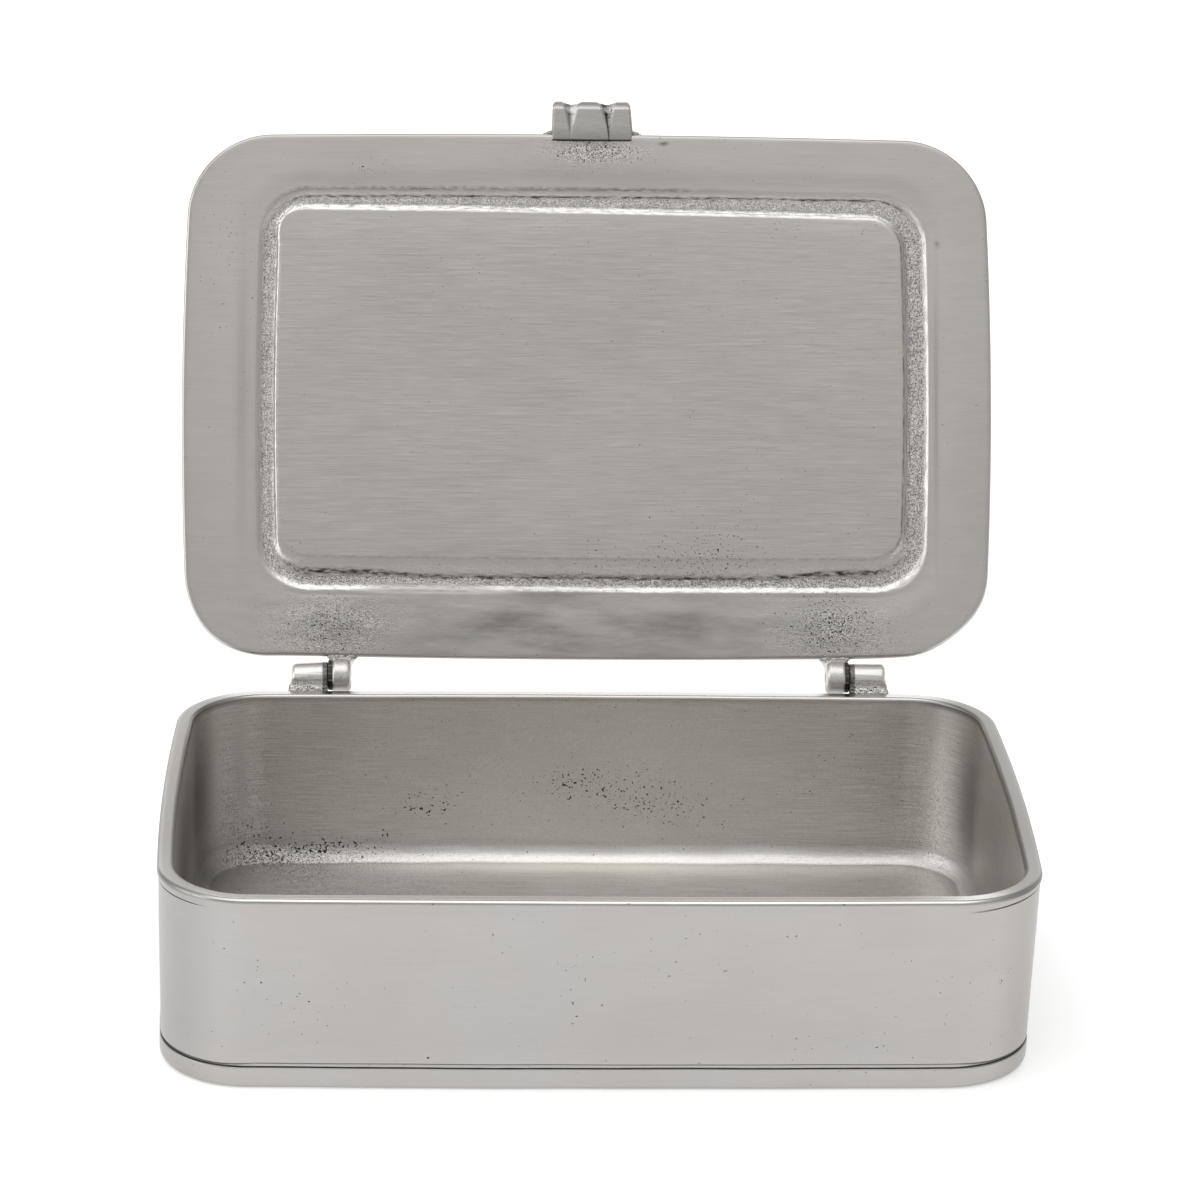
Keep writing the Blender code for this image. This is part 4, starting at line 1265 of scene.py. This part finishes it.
def barrel_shell(start_x, end_x, radius, bore, start_round, end_round, centre_y=0.0, centre_z=0.0):
    """Tube along X with rounded end edges: a closed profile turned about its axis."""
    direction = np.sign(end_x - start_x)
    quarter = np.radians(np.linspace(0, 90, 6))
    first_x = start_x + direction * start_round * (1 - np.sin(quarter))
    first_r = radius - start_round * (1 - np.cos(quarter))
    last_x = end_x - direction * end_round * (1 - np.sin(quarter))
    last_r = radius - end_round * (1 - np.cos(quarter))
    run = np.linspace(first_x[0], last_x[0], 9)[1:-1]
    x = np.concatenate([run, last_x, [end_x, start_x], first_x[::-1]])
    r = np.concatenate([np.full(len(run), radius), last_r, [bore, bore], first_r[::-1]])
    return shell_rings(turned(x, r, BARREL_SIDES, centre_y, centre_z), loop=True)


def rod_shell(start, end, radius, seed):
    """Uneven run of solder between two places: a tapered, lumpy rod with round ends."""
    start, end = np.asarray(start, float), np.asarray(end, float)
    along = end - start
    reach = np.linalg.norm(along)
    along /= reach
    side = np.cross(along, (0, 0, 1.0))
    side /= np.linalg.norm(side)
    up = np.cross(side, along)
    t = np.linspace(-1, 1, 15)
    lumps = 1 + 0.22 * ring_waves(math.pi * t, seed, lowest=1, waves=5)
    swell = radius * np.sqrt(np.clip(1 - t ** 6, 0.02, 1)) * lumps
    turn = circle(ROD_SIDES)
    middle = start + along * reach * ((t + 1) / 2)[:, None]
    grid = (middle[:, None] + swell[:, None, None] * (
        np.cos(turn)[None, :, None] * side + np.sin(turn)[None, :, None] * up))
    return shell_rings(grid)


def finish_fitting(name, points, faces, body, node, **masks):
    """Fitting from a fused skin and its masks."""
    masks = {label: np.clip(values, 0, 1) for label, values in masks.items()}
    masks["brushing"] = np.ones(len(points))
    mesh = make_mesh(name, points, [faces], masks)
    add_piece(name, mesh, "Fitting pewter", body, "pewter_fittings", node)


class BuildHinges(bpy.types.Operator):
    """Build both hinges: lugs on the tub, knuckles on the lid and a pin through each pair"""

    bl_idname = "pewter_box.hinges"
    bl_label = "Hinges"

    def execute(self, context):
        for side_name, side in (("left", -1), ("right", 1)):
            self.build_lug(side_name, side)
            self.build_knuckle(side_name, side)
            self.build_pin(side_name)
        return {"FINISHED"}

    @staticmethod
    def build_lug(side_name, side):
        """Barrel and web with a flush front, over a leaf down the back wall, with solder at the foot."""
        sizes = settings("hinge")
        tub = settings("tub")
        rim_z = TUB_HIGH.z
        low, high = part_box("hinge_lug_" + side_name)
        centre_y, centre_z = HINGE_PLACE[1:]
        inner = min(abs(low.x), abs(high.x)) + sizes.leaf_spread + side * sizes.side_shift
        outer = max(abs(low.x), abs(high.x)) - sizes.leaf_spread + side * sizes.side_shift
        rim_y = tub_outline().rear_y((inner + outer) / 2)
        wall_y = rim_y - tub.lip_overhang - 0.15 * MM
        foot_z = rim_z - sizes.leaf_drop
        lip_z = rim_z - tub.lip_height
        front_y = centre_y - sizes.barrel_radius
        bore_y = centre_y - sizes.bore_radius - 0.1 * MM
        bore_top = centre_z - sizes.bore_radius - 0.15 * MM
        step = (inner - sizes.collar_length, inner + 0.4 * MM)

        def flared(share):
            """Ends along X of a section that flares by a share of the leaf's spread."""
            wide = sizes.leaf_spread * share
            return inner - wide * 0.3, outer + wide

        leaf = (
            (foot_z, *flared(0.8), wall_y - 0.1 * MM, wall_y + 0.7 * MM),
            (foot_z + 0.4 * MM, *flared(1.0), wall_y - 0.1 * MM, wall_y + 0.9 * sizes.leaf_thickness),
            (lip_z - 1.2 * MM, *flared(0.7), wall_y, wall_y + 1.1 * sizes.leaf_thickness),
            (lip_z + 0.6 * MM, *flared(0.35), wall_y, centre_y - 0.2 * MM),
            (rim_z - 0.9 * MM, *flared(0.4), rim_y - 0.1 * MM, centre_y + 0.9 * MM),
            (bore_top, *flared(0.0), front_y + 0.1 * MM, centre_y + 1.0 * MM),
        )
        cheek = (
            (rim_z - 1.2 * MM, *flared(1.3), rim_y, bore_y),
            (rim_z - 0.2 * MM, *flared(1.2), rim_y + 0.1 * MM, bore_y),
            (rim_z + 0.5 * MM, *flared(0.8), front_y - 0.05 * MM, bore_y),
            (centre_z + 0.3 * MM, *flared(0.0), front_y + 0.05 * MM, bore_y),
        )
        web = (
            (rim_z - 1.2 * MM, *step, rim_y, bore_y),
            (rim_z - 0.2 * MM, *step, rim_y + 0.1 * MM, bore_y),
            (rim_z + 0.5 * MM, *step, front_y + 0.05 * MM, bore_y),
            (centre_z - 0.1 * MM, *step, front_y + 0.15 * MM, bore_y),
        )
        seam_place = (rim_y + 0.1 * MM, rim_z - 0.25 * MM)
        shells = [
            upright_shell(side, leaf, 0.25 * MM),
            upright_shell(side, cheek, 0.25 * MM),
            upright_shell(side, web, 0.2 * MM),
            barrel_shell(
                side * inner, side * outer, sizes.barrel_radius, sizes.bore_radius, 0.2 * MM,
                2 * sizes.end_round, centre_y, centre_z),
            barrel_shell(
                side * step[0], side * step[1], sizes.barrel_radius - 0.1 * MM, sizes.bore_radius,
                0.25 * MM, 0.1 * MM, centre_y, centre_z),
            rod_shell(
                (side * (inner + 0.1 * MM), *seam_place), (side * (outer + 0.5 * MM), *seam_place),
                0.42 * MM, seed=51),
            rod_shell(
                (side * (outer - 0.2 * MM), rim_y + 0.1 * MM, rim_z - 2.0 * MM),
                (side * (outer + 0.3 * MM), rim_y + 0.4 * MM, rim_z - 0.1 * MM), 0.45 * MM, seed=52),
        ]
        name = "lug_" + side_name
        points, faces = fused(name, shells, HINGE_VOXEL, rounds=4)
        x, y, z = points.T
        foot = 1 - ease(z, rim_z + 0.1 * MM, rim_z + 1.4 * MM)
        points[:, 1:] += (0.06 * MM * foot * drift(x, z + y, cell=1.1 * MM, seed=61))[:, None]
        front = 1 - ease(y, front_y + 0.5 * MM, front_y + 1.2 * MM)
        filed = drift(x * 0.05, z, cell=0.5 * MM, seed=66) * (1 - foot) * front
        points[:, 1] += 0.012 * MM * filed
        if side < 0:
            away = ease(z, centre_z - 0.5 * MM, centre_z + 2.0 * MM)
            points[:, 2] -= away * (0.15 * MM + 0.05 * (-x - inner))
        end_face = 1 - ease(side * x, inner - 0.05 * MM, inner + 0.12 * MM)
        crumbs = ease(drift(x, z * 2.2, cell=1.3 * MM, seed=67), 0.2, 1.3)
        low_front = front * (1 - ease(z, centre_z - 0.2 * MM, centre_z + 1.2 * MM))
        scratches = ease(drift(x * 0.15, z, cell=0.5 * MM, seed=68), 0.5, 1.3)
        # Stain on the solder at the foot and scratches low on the front; painted shade on the inner end
        # face, in the gap to the knuckle.
        stain = foot * (0.06 + 0.4 * crumbs) + 0.40 * scratches * low_front * (1 - foot)
        stain += end_face * (0.55 + 0.35 * crumbs)
        # The lug is drawn lighter, towards the highlight colour, and more so on its low front; painted
        # glints sparkle on the solder and on the end face.
        glint = ease(drift(x, z, cell=0.8 * MM, seed=69), 0.5, 1.4)
        bright = (0.62 + 0.25 * low_front) * (1 - end_face)
        bright += 0.7 * glint * (foot * (1 - end_face) + 0.7 * end_face)
        finish_fitting(
            name, points, faces, "tub", "hinge_lug_" + side_name, stain=stain, pitting=0.15 + 0.4 * foot,
            casting=0.6 * foot + 0.3 * low_front, bright=bright)

    @staticmethod
    def build_knuckle(side_name, side):
        """Barrel, neck flared to the lid's edge and tongue over the lid, in the hinge's frame."""
        sizes = settings("hinge")
        under, top = lid_faces()
        low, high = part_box("lid_knuckle_" + side_name)
        pin_low, pin_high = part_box("hinge_pin_" + side_name)
        middle = (abs(low.x) + abs(high.x)) / 2 + side * sizes.side_shift
        half_length = middle - side * sizes.side_shift - min(abs(pin_low.x), abs(pin_high.x))
        inner, outer = middle - half_length, middle + half_length
        edge_y = tub_outline().rear_y(middle) - HINGE_PLACE[1]
        tongue_y = edge_y - 6.4 * MM
        tongue_top = top + sizes.tongue_thickness
        tongue_low = top - 0.2 * MM
        reach = sizes.barrel_radius + sizes.knuckle_swell
        flare = sizes.neck_spread
        stations = (
            (tongue_y, half_length * 0.75, tongue_low, tongue_top - 0.35 * MM),
            (tongue_y + 1.4 * MM, half_length + 0.8 * flare, tongue_low, tongue_top),
            (edge_y - 0.5 * MM, half_length + flare, tongue_low, tongue_top),
            (edge_y + 0.05 * MM, half_length + flare, under + 0.05 * MM, tongue_top),
            (edge_y + 0.40 * MM, half_length + 0.62 * flare, under - 0.05 * MM, tongue_top),
            (edge_y + 0.90 * MM, half_length + 0.28 * flare, under - 0.25 * MM, tongue_top + 0.2 * MM),
            (edge_y + 1.50 * MM, half_length + 0.06 * flare, under - 0.60 * MM, tongue_top + 0.2 * MM),
            (-sizes.bore_radius - 0.12 * MM, half_length, -0.80 * reach, 0.80 * reach),
        )
        rings = []
        for y, wide, bottom, upper in stations:
            x, z = rounded_section(middle - wide, middle + wide, bottom, upper, 0.28 * MM)
            bevel = sizes.inner_bevel * ease(y, edge_y, edge_y + 1.5 * MM)
            low_inner = ease(middle - wide + 1.2 * MM - x, 0, 1.2 * MM) * ease(z, 0.4 * MM, bottom)
            x = x + bevel * low_inner
            rings.append(np.stack([side * x, np.full(len(x), y), z], axis=-1))
        seam_place = (edge_y + 0.02 * MM, under + 0.45 * MM)
        shells = [
            shell_rings(np.array(rings)),
            barrel_shell(
                side * inner, side * outer, reach, sizes.bore_radius, sizes.inner_bevel, sizes.end_round),
            barrel_shell(
                side * (outer - 0.4 * MM), side * (outer + sizes.collar_length), sizes.collar_radius,
                sizes.bore_radius, 0.1 * MM, 0.25 * MM),
            rod_shell(
                (side * (inner - 1.2 * MM), *seam_place), (side * (outer + 1.2 * MM), *seam_place),
                0.45 * MM, seed=55),
        ]
        name = "knuckle_" + side_name
        points, faces = fused(name, shells, HINGE_VOXEL, rounds=4)
        x, y, z = points.T
        seam = 1 - ease(np.abs(y - edge_y), 0.1 * MM, 1.0 * MM)
        underneath = 1 - ease(z, under - 0.4 * MM, under + 0.6 * MM)
        points[:, 2] += 0.05 * MM * seam * drift(x, y, cell=1.0 * MM, seed=63)
        low_barrel = ease(y, 0.9 * MM, 2.2 * MM)
        bevelled = 1 - ease(side * x - inner, 0.3 * MM, 1.1 * MM)
        in_gap = ease(side * x - outer, -0.05 * MM, 0.10 * MM) * (1 - seam)
        crumbs = ease(drift(y, z, cell=0.8 * MM, seed=64), 0.3, 1.2)
        # Solder stain under the seam; painted shade on the barrel's lower side and on the end in the gap
        # to the lug; slightly darker on the bevel.
        stain = 0.28 * seam * underneath + 0.25 * low_barrel + 0.10 * bevelled * (1 - seam)
        stain += in_gap * (0.90 - 0.55 * crumbs)
        # The knuckle is drawn lighter, towards the highlight colour, with painted glints along the seam.
        bright = 0.60 * (1 - in_gap) * (1 - seam) + 0.6 * seam * crumbs
        finish_fitting(
            name, swing_open(points), faces, "lid", "lid_knuckle_" + side_name, stain=stain,
            pitting=0.12 + 0.35 * seam, casting=0.15 + 0.5 * seam, bright=bright)

    @staticmethod
    def build_pin(side_name):
        """Pin with domed ends: a circle whose radius falls off at both ends, carried along X."""
        sizes = settings("hinge")
        low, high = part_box("hinge_pin_" + side_name)
        dome = np.radians(np.linspace(4, 90, 7))
        cap = 0.3 * MM
        x = np.concatenate([low.x + cap - cap * np.cos(dome), (high.x - cap + cap * np.cos(dome))[::-1]])
        r = sizes.pin_radius * np.concatenate([np.sin(dome), np.sin(dome)[::-1]])
        grid = turned(x + sizes.side_shift, r, PIN_SIDES, *HINGE_PLACE[1:])
        name = "pin_" + side_name
        mesh = closed_rings(name, grid, {})
        add_piece(name, mesh, "Pin steel", "tub", "pin_steel", "hinge_pin_" + side_name)


# Thumbpiece

LOBE_SHARE = 0.47
GROOVE_START = 0.30 * MM
GROOVE_GROWTH = 1.6


def groove_spread(sizes, run):
    """Share of the way from the thumbpiece's foot to its tip, and half a groove's width there."""
    grown = np.clip((run + sizes.overlap) / (sizes.reach + sizes.overlap), 0, 1)
    return grown, (GROOVE_START + (sizes.groove_width - GROOVE_START) * grown ** GROOVE_GROWTH) / 2


class BuildThumbpiece(bpy.types.Operator):
    """Build the thumbpiece with its two grooves and the solder at its foot"""

    bl_idname = "pewter_box.thumbpiece"
    bl_label = "Thumbpiece"

    def execute(self, context):
        sizes = settings("thumb")
        under, top = lid_faces()
        front = TUB_LOW.y - HINGE_PLACE[1]
        straight = sizes.reach - sizes.tip_round
        quarter = np.radians(np.linspace(0, 86, 11))[1:]
        level = np.linspace(-sizes.overlap, straight, 30)
        run = np.concatenate([level, straight + sizes.tip_round * np.sin(quarter)])[:, None]
        tuck = np.concatenate([level * 0, 1 - np.cos(quarter)])[:, None]
        along = np.clip(run / sizes.reach, 0, 1)
        half = (sizes.base_width + (sizes.tip_width - sizes.base_width) * along) / 2 - tuck * 0.45 * MM
        low = under - sizes.overlap_depth + tuck * sizes.tip_round
        high = top + sizes.curl * along ** 2 - tuck * sizes.tip_round * 0.6
        x = half * np.linspace(-1, 1, 121)[None]
        edge = 0.55 * MM
        past_edge = ease(np.abs(x), half - edge, half + 0.02 * MM)
        round_off = edge * (1 - np.sqrt(np.clip(1 - past_edge ** 2, 0, 1)))
        grown, spread = groove_spread(sizes, run)
        off_line = np.abs(np.abs(x + sizes.groove_shift) - half * LOBE_SHARE)
        notch = np.clip(1 - off_line / spread, 0, 1) ** 0.8
        cut = sizes.groove_depth * (0.05 + 0.95 * grown) * notch * (1 - 0.5 * tuck)
        lower = low + round_off + cut
        upper = np.maximum(high - round_off - cut * 0.9, lower + 0.15 * MM)
        y = np.broadcast_to(front - run + 0.75 * MM * notch * tuck, x.shape)
        x = x + sizes.side_shift - 0.15 * MM * along
        ring = np.concatenate([
            np.stack([x, y, lower], axis=-1), np.stack([x, y, upper], axis=-1)[:, ::-1]], axis=1)
        left, right = sizes.side_shift - sizes.base_width / 2, sizes.side_shift + sizes.base_width / 2
        seam_place = (front + sizes.overlap - 0.05 * MM, under + 0.03 * MM)
        on_edge = (front - 0.5 * MM, under + 1.0 * MM)
        past_corner = (front + 0.3 * MM, under + 0.9 * MM)
        shells = [
            shell_rings(ring),
            rod_shell((left - 0.3 * MM, *seam_place), (right + 0.3 * MM, *seam_place), 0.17 * MM, seed=71),
            rod_shell((left - 1.6 * MM, *past_corner), (left + 0.2 * MM, *on_edge), 0.42 * MM, seed=72),
            rod_shell((right - 0.2 * MM, *on_edge), (right + 1.6 * MM, *past_corner), 0.45 * MM, seed=73),
        ]
        points, faces = fused("thumbpiece", shells, THUMB_VOXEL, rounds=2)
        out = front - points[:, 1]
        across = points[:, 0] - sizes.side_shift + sizes.groove_shift
        foot = 1 - ease(out, -sizes.overlap, 0.3 * MM - sizes.overlap)
        warm = 1 - ease(out, 0.4 * MM - sizes.overlap, 3.2 * MM - sizes.overlap)
        grown, spread = groove_spread(sizes, out)
        lobes = np.interp(out, [0, sizes.reach], [sizes.base_width / 2, sizes.tip_width / 2]) * LOBE_SHARE
        in_groove = np.clip(1 - np.abs(np.abs(across) - lobes) / spread, 0, 1)
        from_line = across - np.where(across < 0, -lobes, lobes)
        groove_skin = ease(in_groove, 0.05, 0.35)
        left_side = groove_skin * ease(-from_line, -0.1 * spread, 0.4 * spread)
        left_side *= 1 - (1 - ease(grown, 0.15, 0.45)) * ease(-across, 0, 1 * MM)
        right_side = groove_skin * ease(from_line, 0, 0.4 * spread)
        rough = groove_skin * ease(across, -1 * MM, 1 * MM)
        seam_line = bell(out, -sizes.overlap, 0.25 * MM)
        tip_line = bell(out, straight + 0.1 * MM, 0.20 * MM) * (1 - groove_skin)
        tip_strip = ease(out, straight + 0.35 * MM, straight + 0.7 * MM)
        groove_bed = ease(in_groove, 0.15, 0.5)
        groove_top = groove_bed * bell(out, straight - 0.1 * MM, 0.55 * MM)
        groove_end = groove_bed * bell(out, straight - 0.9 * MM, 0.25 * MM)
        points[:, 1] += 0.03 * MM * foot * drift(*points.T[:2], cell=0.9 * MM, seed=75)
        # Oxide at the foot and along the solder seam; painted shade on the left side of each groove, and
        # darker at each groove's end; painted highlights on the tip's edge, the groove tops and the
        # grooves' right sides; lightened except at the tip.
        stain = 0.21 + 0.22 * foot + 0.80 * seam_line + 0.22 * warm + 0.12 * rough + 0.08 * tip_strip
        stain += ((0.32 + 0.25 * rough) * left_side + 0.30 * groove_end) * (1 - groove_top)
        bright = tip_line + groove_top + 0.8 * right_side * ease(grown, 0.2, 0.6)
        finish_fitting(
            "thumbpiece_skin", swing_open(points), faces, "lid", "thumbpiece", stain=stain,
            pitting=0.10 + 0.4 * foot + 0.3 * rough,
            casting=0.45 * foot + 0.35 * groove_skin + 0.45 * rough,
            polish=0.3 * tip_line, bright=bright, worn=0.20 * (1 - tip_strip))
        return {"FINISHED"}


# Stage

LAMPS = (
    ("Top lamp", "top_lamp", (-0.15, -0.35, 1.25), (1.5, 1.1)),
    ("Left lamp", "left_lamp", (-1.15, -0.25, 0.50), (0.9, 0.8)),
    ("Back lamp", "back_lamp", (0.10, 1.30, 0.56), (2.2, 1.0)),
)
LAMPS_AIM = (0, 0, 0.04)
FLOOR_RADIUS = 4
FLOOR_CORNERS = 96
FLOOR_DROP = 0.02 * MM
CAMERA_PLACE = (-0.03224, -0.74893, 0.33857)
CAMERA_PITCH = math.radians(19.729)
CAMERA_YAW = math.radians(2.488)
CAMERA_ROLL = math.radians(-1.171)


class BuildStage(bpy.types.Operator):
    """Build the floor, the lamps, the room's light and the camera"""

    bl_idname = "pewter_box.stage"
    bl_label = "Stage"

    def execute(self, context):
        stage = settings("stage")
        self.build_floor(stage)
        self.build_room(stage)
        for name, power, place, size in LAMPS:
            self.build_lamp(name, getattr(stage, power), place, size)
        self.build_camera(context.scene, stage)
        context.scene.view_settings.view_transform = "Standard"
        return {"FINISHED"}

    @staticmethod
    def build_floor(stage):
        """Round floor just under the tub, white to the camera and in reflections, with a soft shadow."""
        turn = circle(FLOOR_CORNERS)
        low = np.full(FLOOR_CORNERS, -FLOOR_DROP)
        rim = np.stack([FLOOR_RADIUS * np.cos(turn), FLOOR_RADIUS * np.sin(turn), low], axis=-1)
        mesh = bpy.data.meshes.new("floor")
        fill_mesh(mesh, rim, [np.arange(FLOOR_CORNERS)[None]])
        item = add_object("floor", mesh)
        nodes = new_material("Floor")
        rays = nodes.add("ShaderNodeLightPath").outputs
        seen = nodes.maths("MAXIMUM", rays["Is Camera Ray"], rays["Is Glossy Ray"])
        seen = nodes.maths("MAXIMUM", seen, rays["Is Transmission Ray"])
        plain = nodes.add("ShaderNodeBsdfDiffuse", {"Color": stage.floor})
        soft = nodes.add("ShaderNodeBsdfDiffuse", {"Color": (0.96, 0.96, 0.96)})
        glow = nodes.add("ShaderNodeEmission", {"Color": (1.0, 1.0, 1.0), "Strength": stage.floor_glow})
        white = nodes.add("ShaderNodeAddShader")
        nodes.put(white.inputs[0], soft.outputs[0])
        nodes.put(white.inputs[1], glow.outputs[0])
        surface = nodes.add("ShaderNodeMixShader", {"Fac": seen})
        nodes.tree.links.new(plain.outputs[0], surface.inputs[1])
        nodes.tree.links.new(white.outputs[0], surface.inputs[2])
        nodes.add("ShaderNodeOutputMaterial", {"Surface": surface.outputs[0]})
        mesh.materials.append(bpy.data.materials["Floor"])

    @staticmethod
    def build_room(stage):
        """Even grey room."""
        world = bpy.data.worlds.new("Room")
        world.use_nodes = True
        nodes = Nodes(world.node_tree)
        glow = nodes.add("ShaderNodeBackground", {"Color": (1.0, 1.0, 1.0), "Strength": stage.room})
        nodes.add("ShaderNodeOutputWorld", {"Surface": glow.outputs[0]})
        bpy.context.scene.world = world

    @staticmethod
    def build_lamp(name, power, place, size):
        """Soft rectangular lamp that faces the box."""
        lamp = bpy.data.lights.new(name, "AREA")
        lamp.shape = "RECTANGLE"
        lamp.size, lamp.size_y = size
        lamp.energy = power
        towards = Vector(LAMPS_AIM) - Vector(place)
        turned_to_box = towards.to_track_quat("-Z", "Y").to_matrix().to_4x4()
        add_object(name, lamp).matrix_world = Matrix.Translation(place) @ turned_to_box

    @staticmethod
    def build_camera(scene, stage):
        """Camera at the photograph's angle, from its pitch, yaw and roll."""
        camera = bpy.data.cameras.new("Camera")
        camera.lens = stage.lens
        camera.sensor_width = 36
        camera.clip_start = 0.02
        camera.clip_end = 20
        level = math.cos(CAMERA_PITCH)
        forward = np.array([
            math.sin(CAMERA_YAW) * level, math.cos(CAMERA_YAW) * level, -math.sin(CAMERA_PITCH)])
        right = np.array([math.cos(CAMERA_YAW), -math.sin(CAMERA_YAW), 0])
        down = np.cross(forward, right)
        turned_right = math.cos(CAMERA_ROLL) * right + math.sin(CAMERA_ROLL) * down
        turned_down = -math.sin(CAMERA_ROLL) * right + math.cos(CAMERA_ROLL) * down
        rows = np.stack([turned_right, -turned_down, -forward, CAMERA_PLACE], axis=-1)
        item = add_object("Camera", camera)
        item.matrix_world = Matrix([*rows, (0, 0, 0, 1)])
        scene.camera = item


class PewterBoxPanel(bpy.types.Panel):
    """Panel that lists the sizes and the steps of the box."""

    bl_idname = "VIEW3D_PT_pewter_box"
    bl_label = "Pewter box"
    bl_space_type = "VIEW_3D"
    bl_region_type = "UI"
    bl_category = "Pewter box"

    def draw(self, context):
        for group in GROUPS:
            box = self.layout.box()
            box.label(text=group.title())
            chosen = settings(group)
            for label in chosen.__annotations__:
                box.prop(chosen, label)
        for step in STEPS:
            self.layout.operator(step.bl_idname)


GROUPS = {
    "tub": TubSizes,
    "lid": LidSizes,
    "hinge": HingeSizes,
    "thumb": ThumbSizes,
    "colours": PewterColours,
    "stage": StageSettings,
}
STEPS = (BuildFinishes, BuildTub, BuildLid, BuildHinges, BuildThumbpiece, BuildStage)


def register():
    """Register the settings, the steps and their panel."""
    for group, kind in GROUPS.items():
        bpy.utils.register_class(kind)
        setattr(bpy.types.Scene, "pewter_box_" + group, bpy.props.PointerProperty(type=kind))
    for step in STEPS:
        bpy.utils.register_class(step)
    bpy.utils.register_class(PewterBoxPanel)


def unregister():
    """Take everything that register added out again."""
    bpy.utils.unregister_class(PewterBoxPanel)
    for step in reversed(STEPS):
        bpy.utils.unregister_class(step)
    for group, kind in reversed(GROUPS.items()):
        delattr(bpy.types.Scene, "pewter_box_" + group)
        bpy.utils.unregister_class(kind)


def main():
    """Build the box step by step."""
    register()
    bpy.ops.pewter_box.finishes()
    bpy.ops.pewter_box.tub()
    bpy.ops.pewter_box.lid()
    bpy.ops.pewter_box.hinges()
    bpy.ops.pewter_box.thumbpiece()
    bpy.ops.pewter_box.stage()


if __name__ == "__main__":
    main()
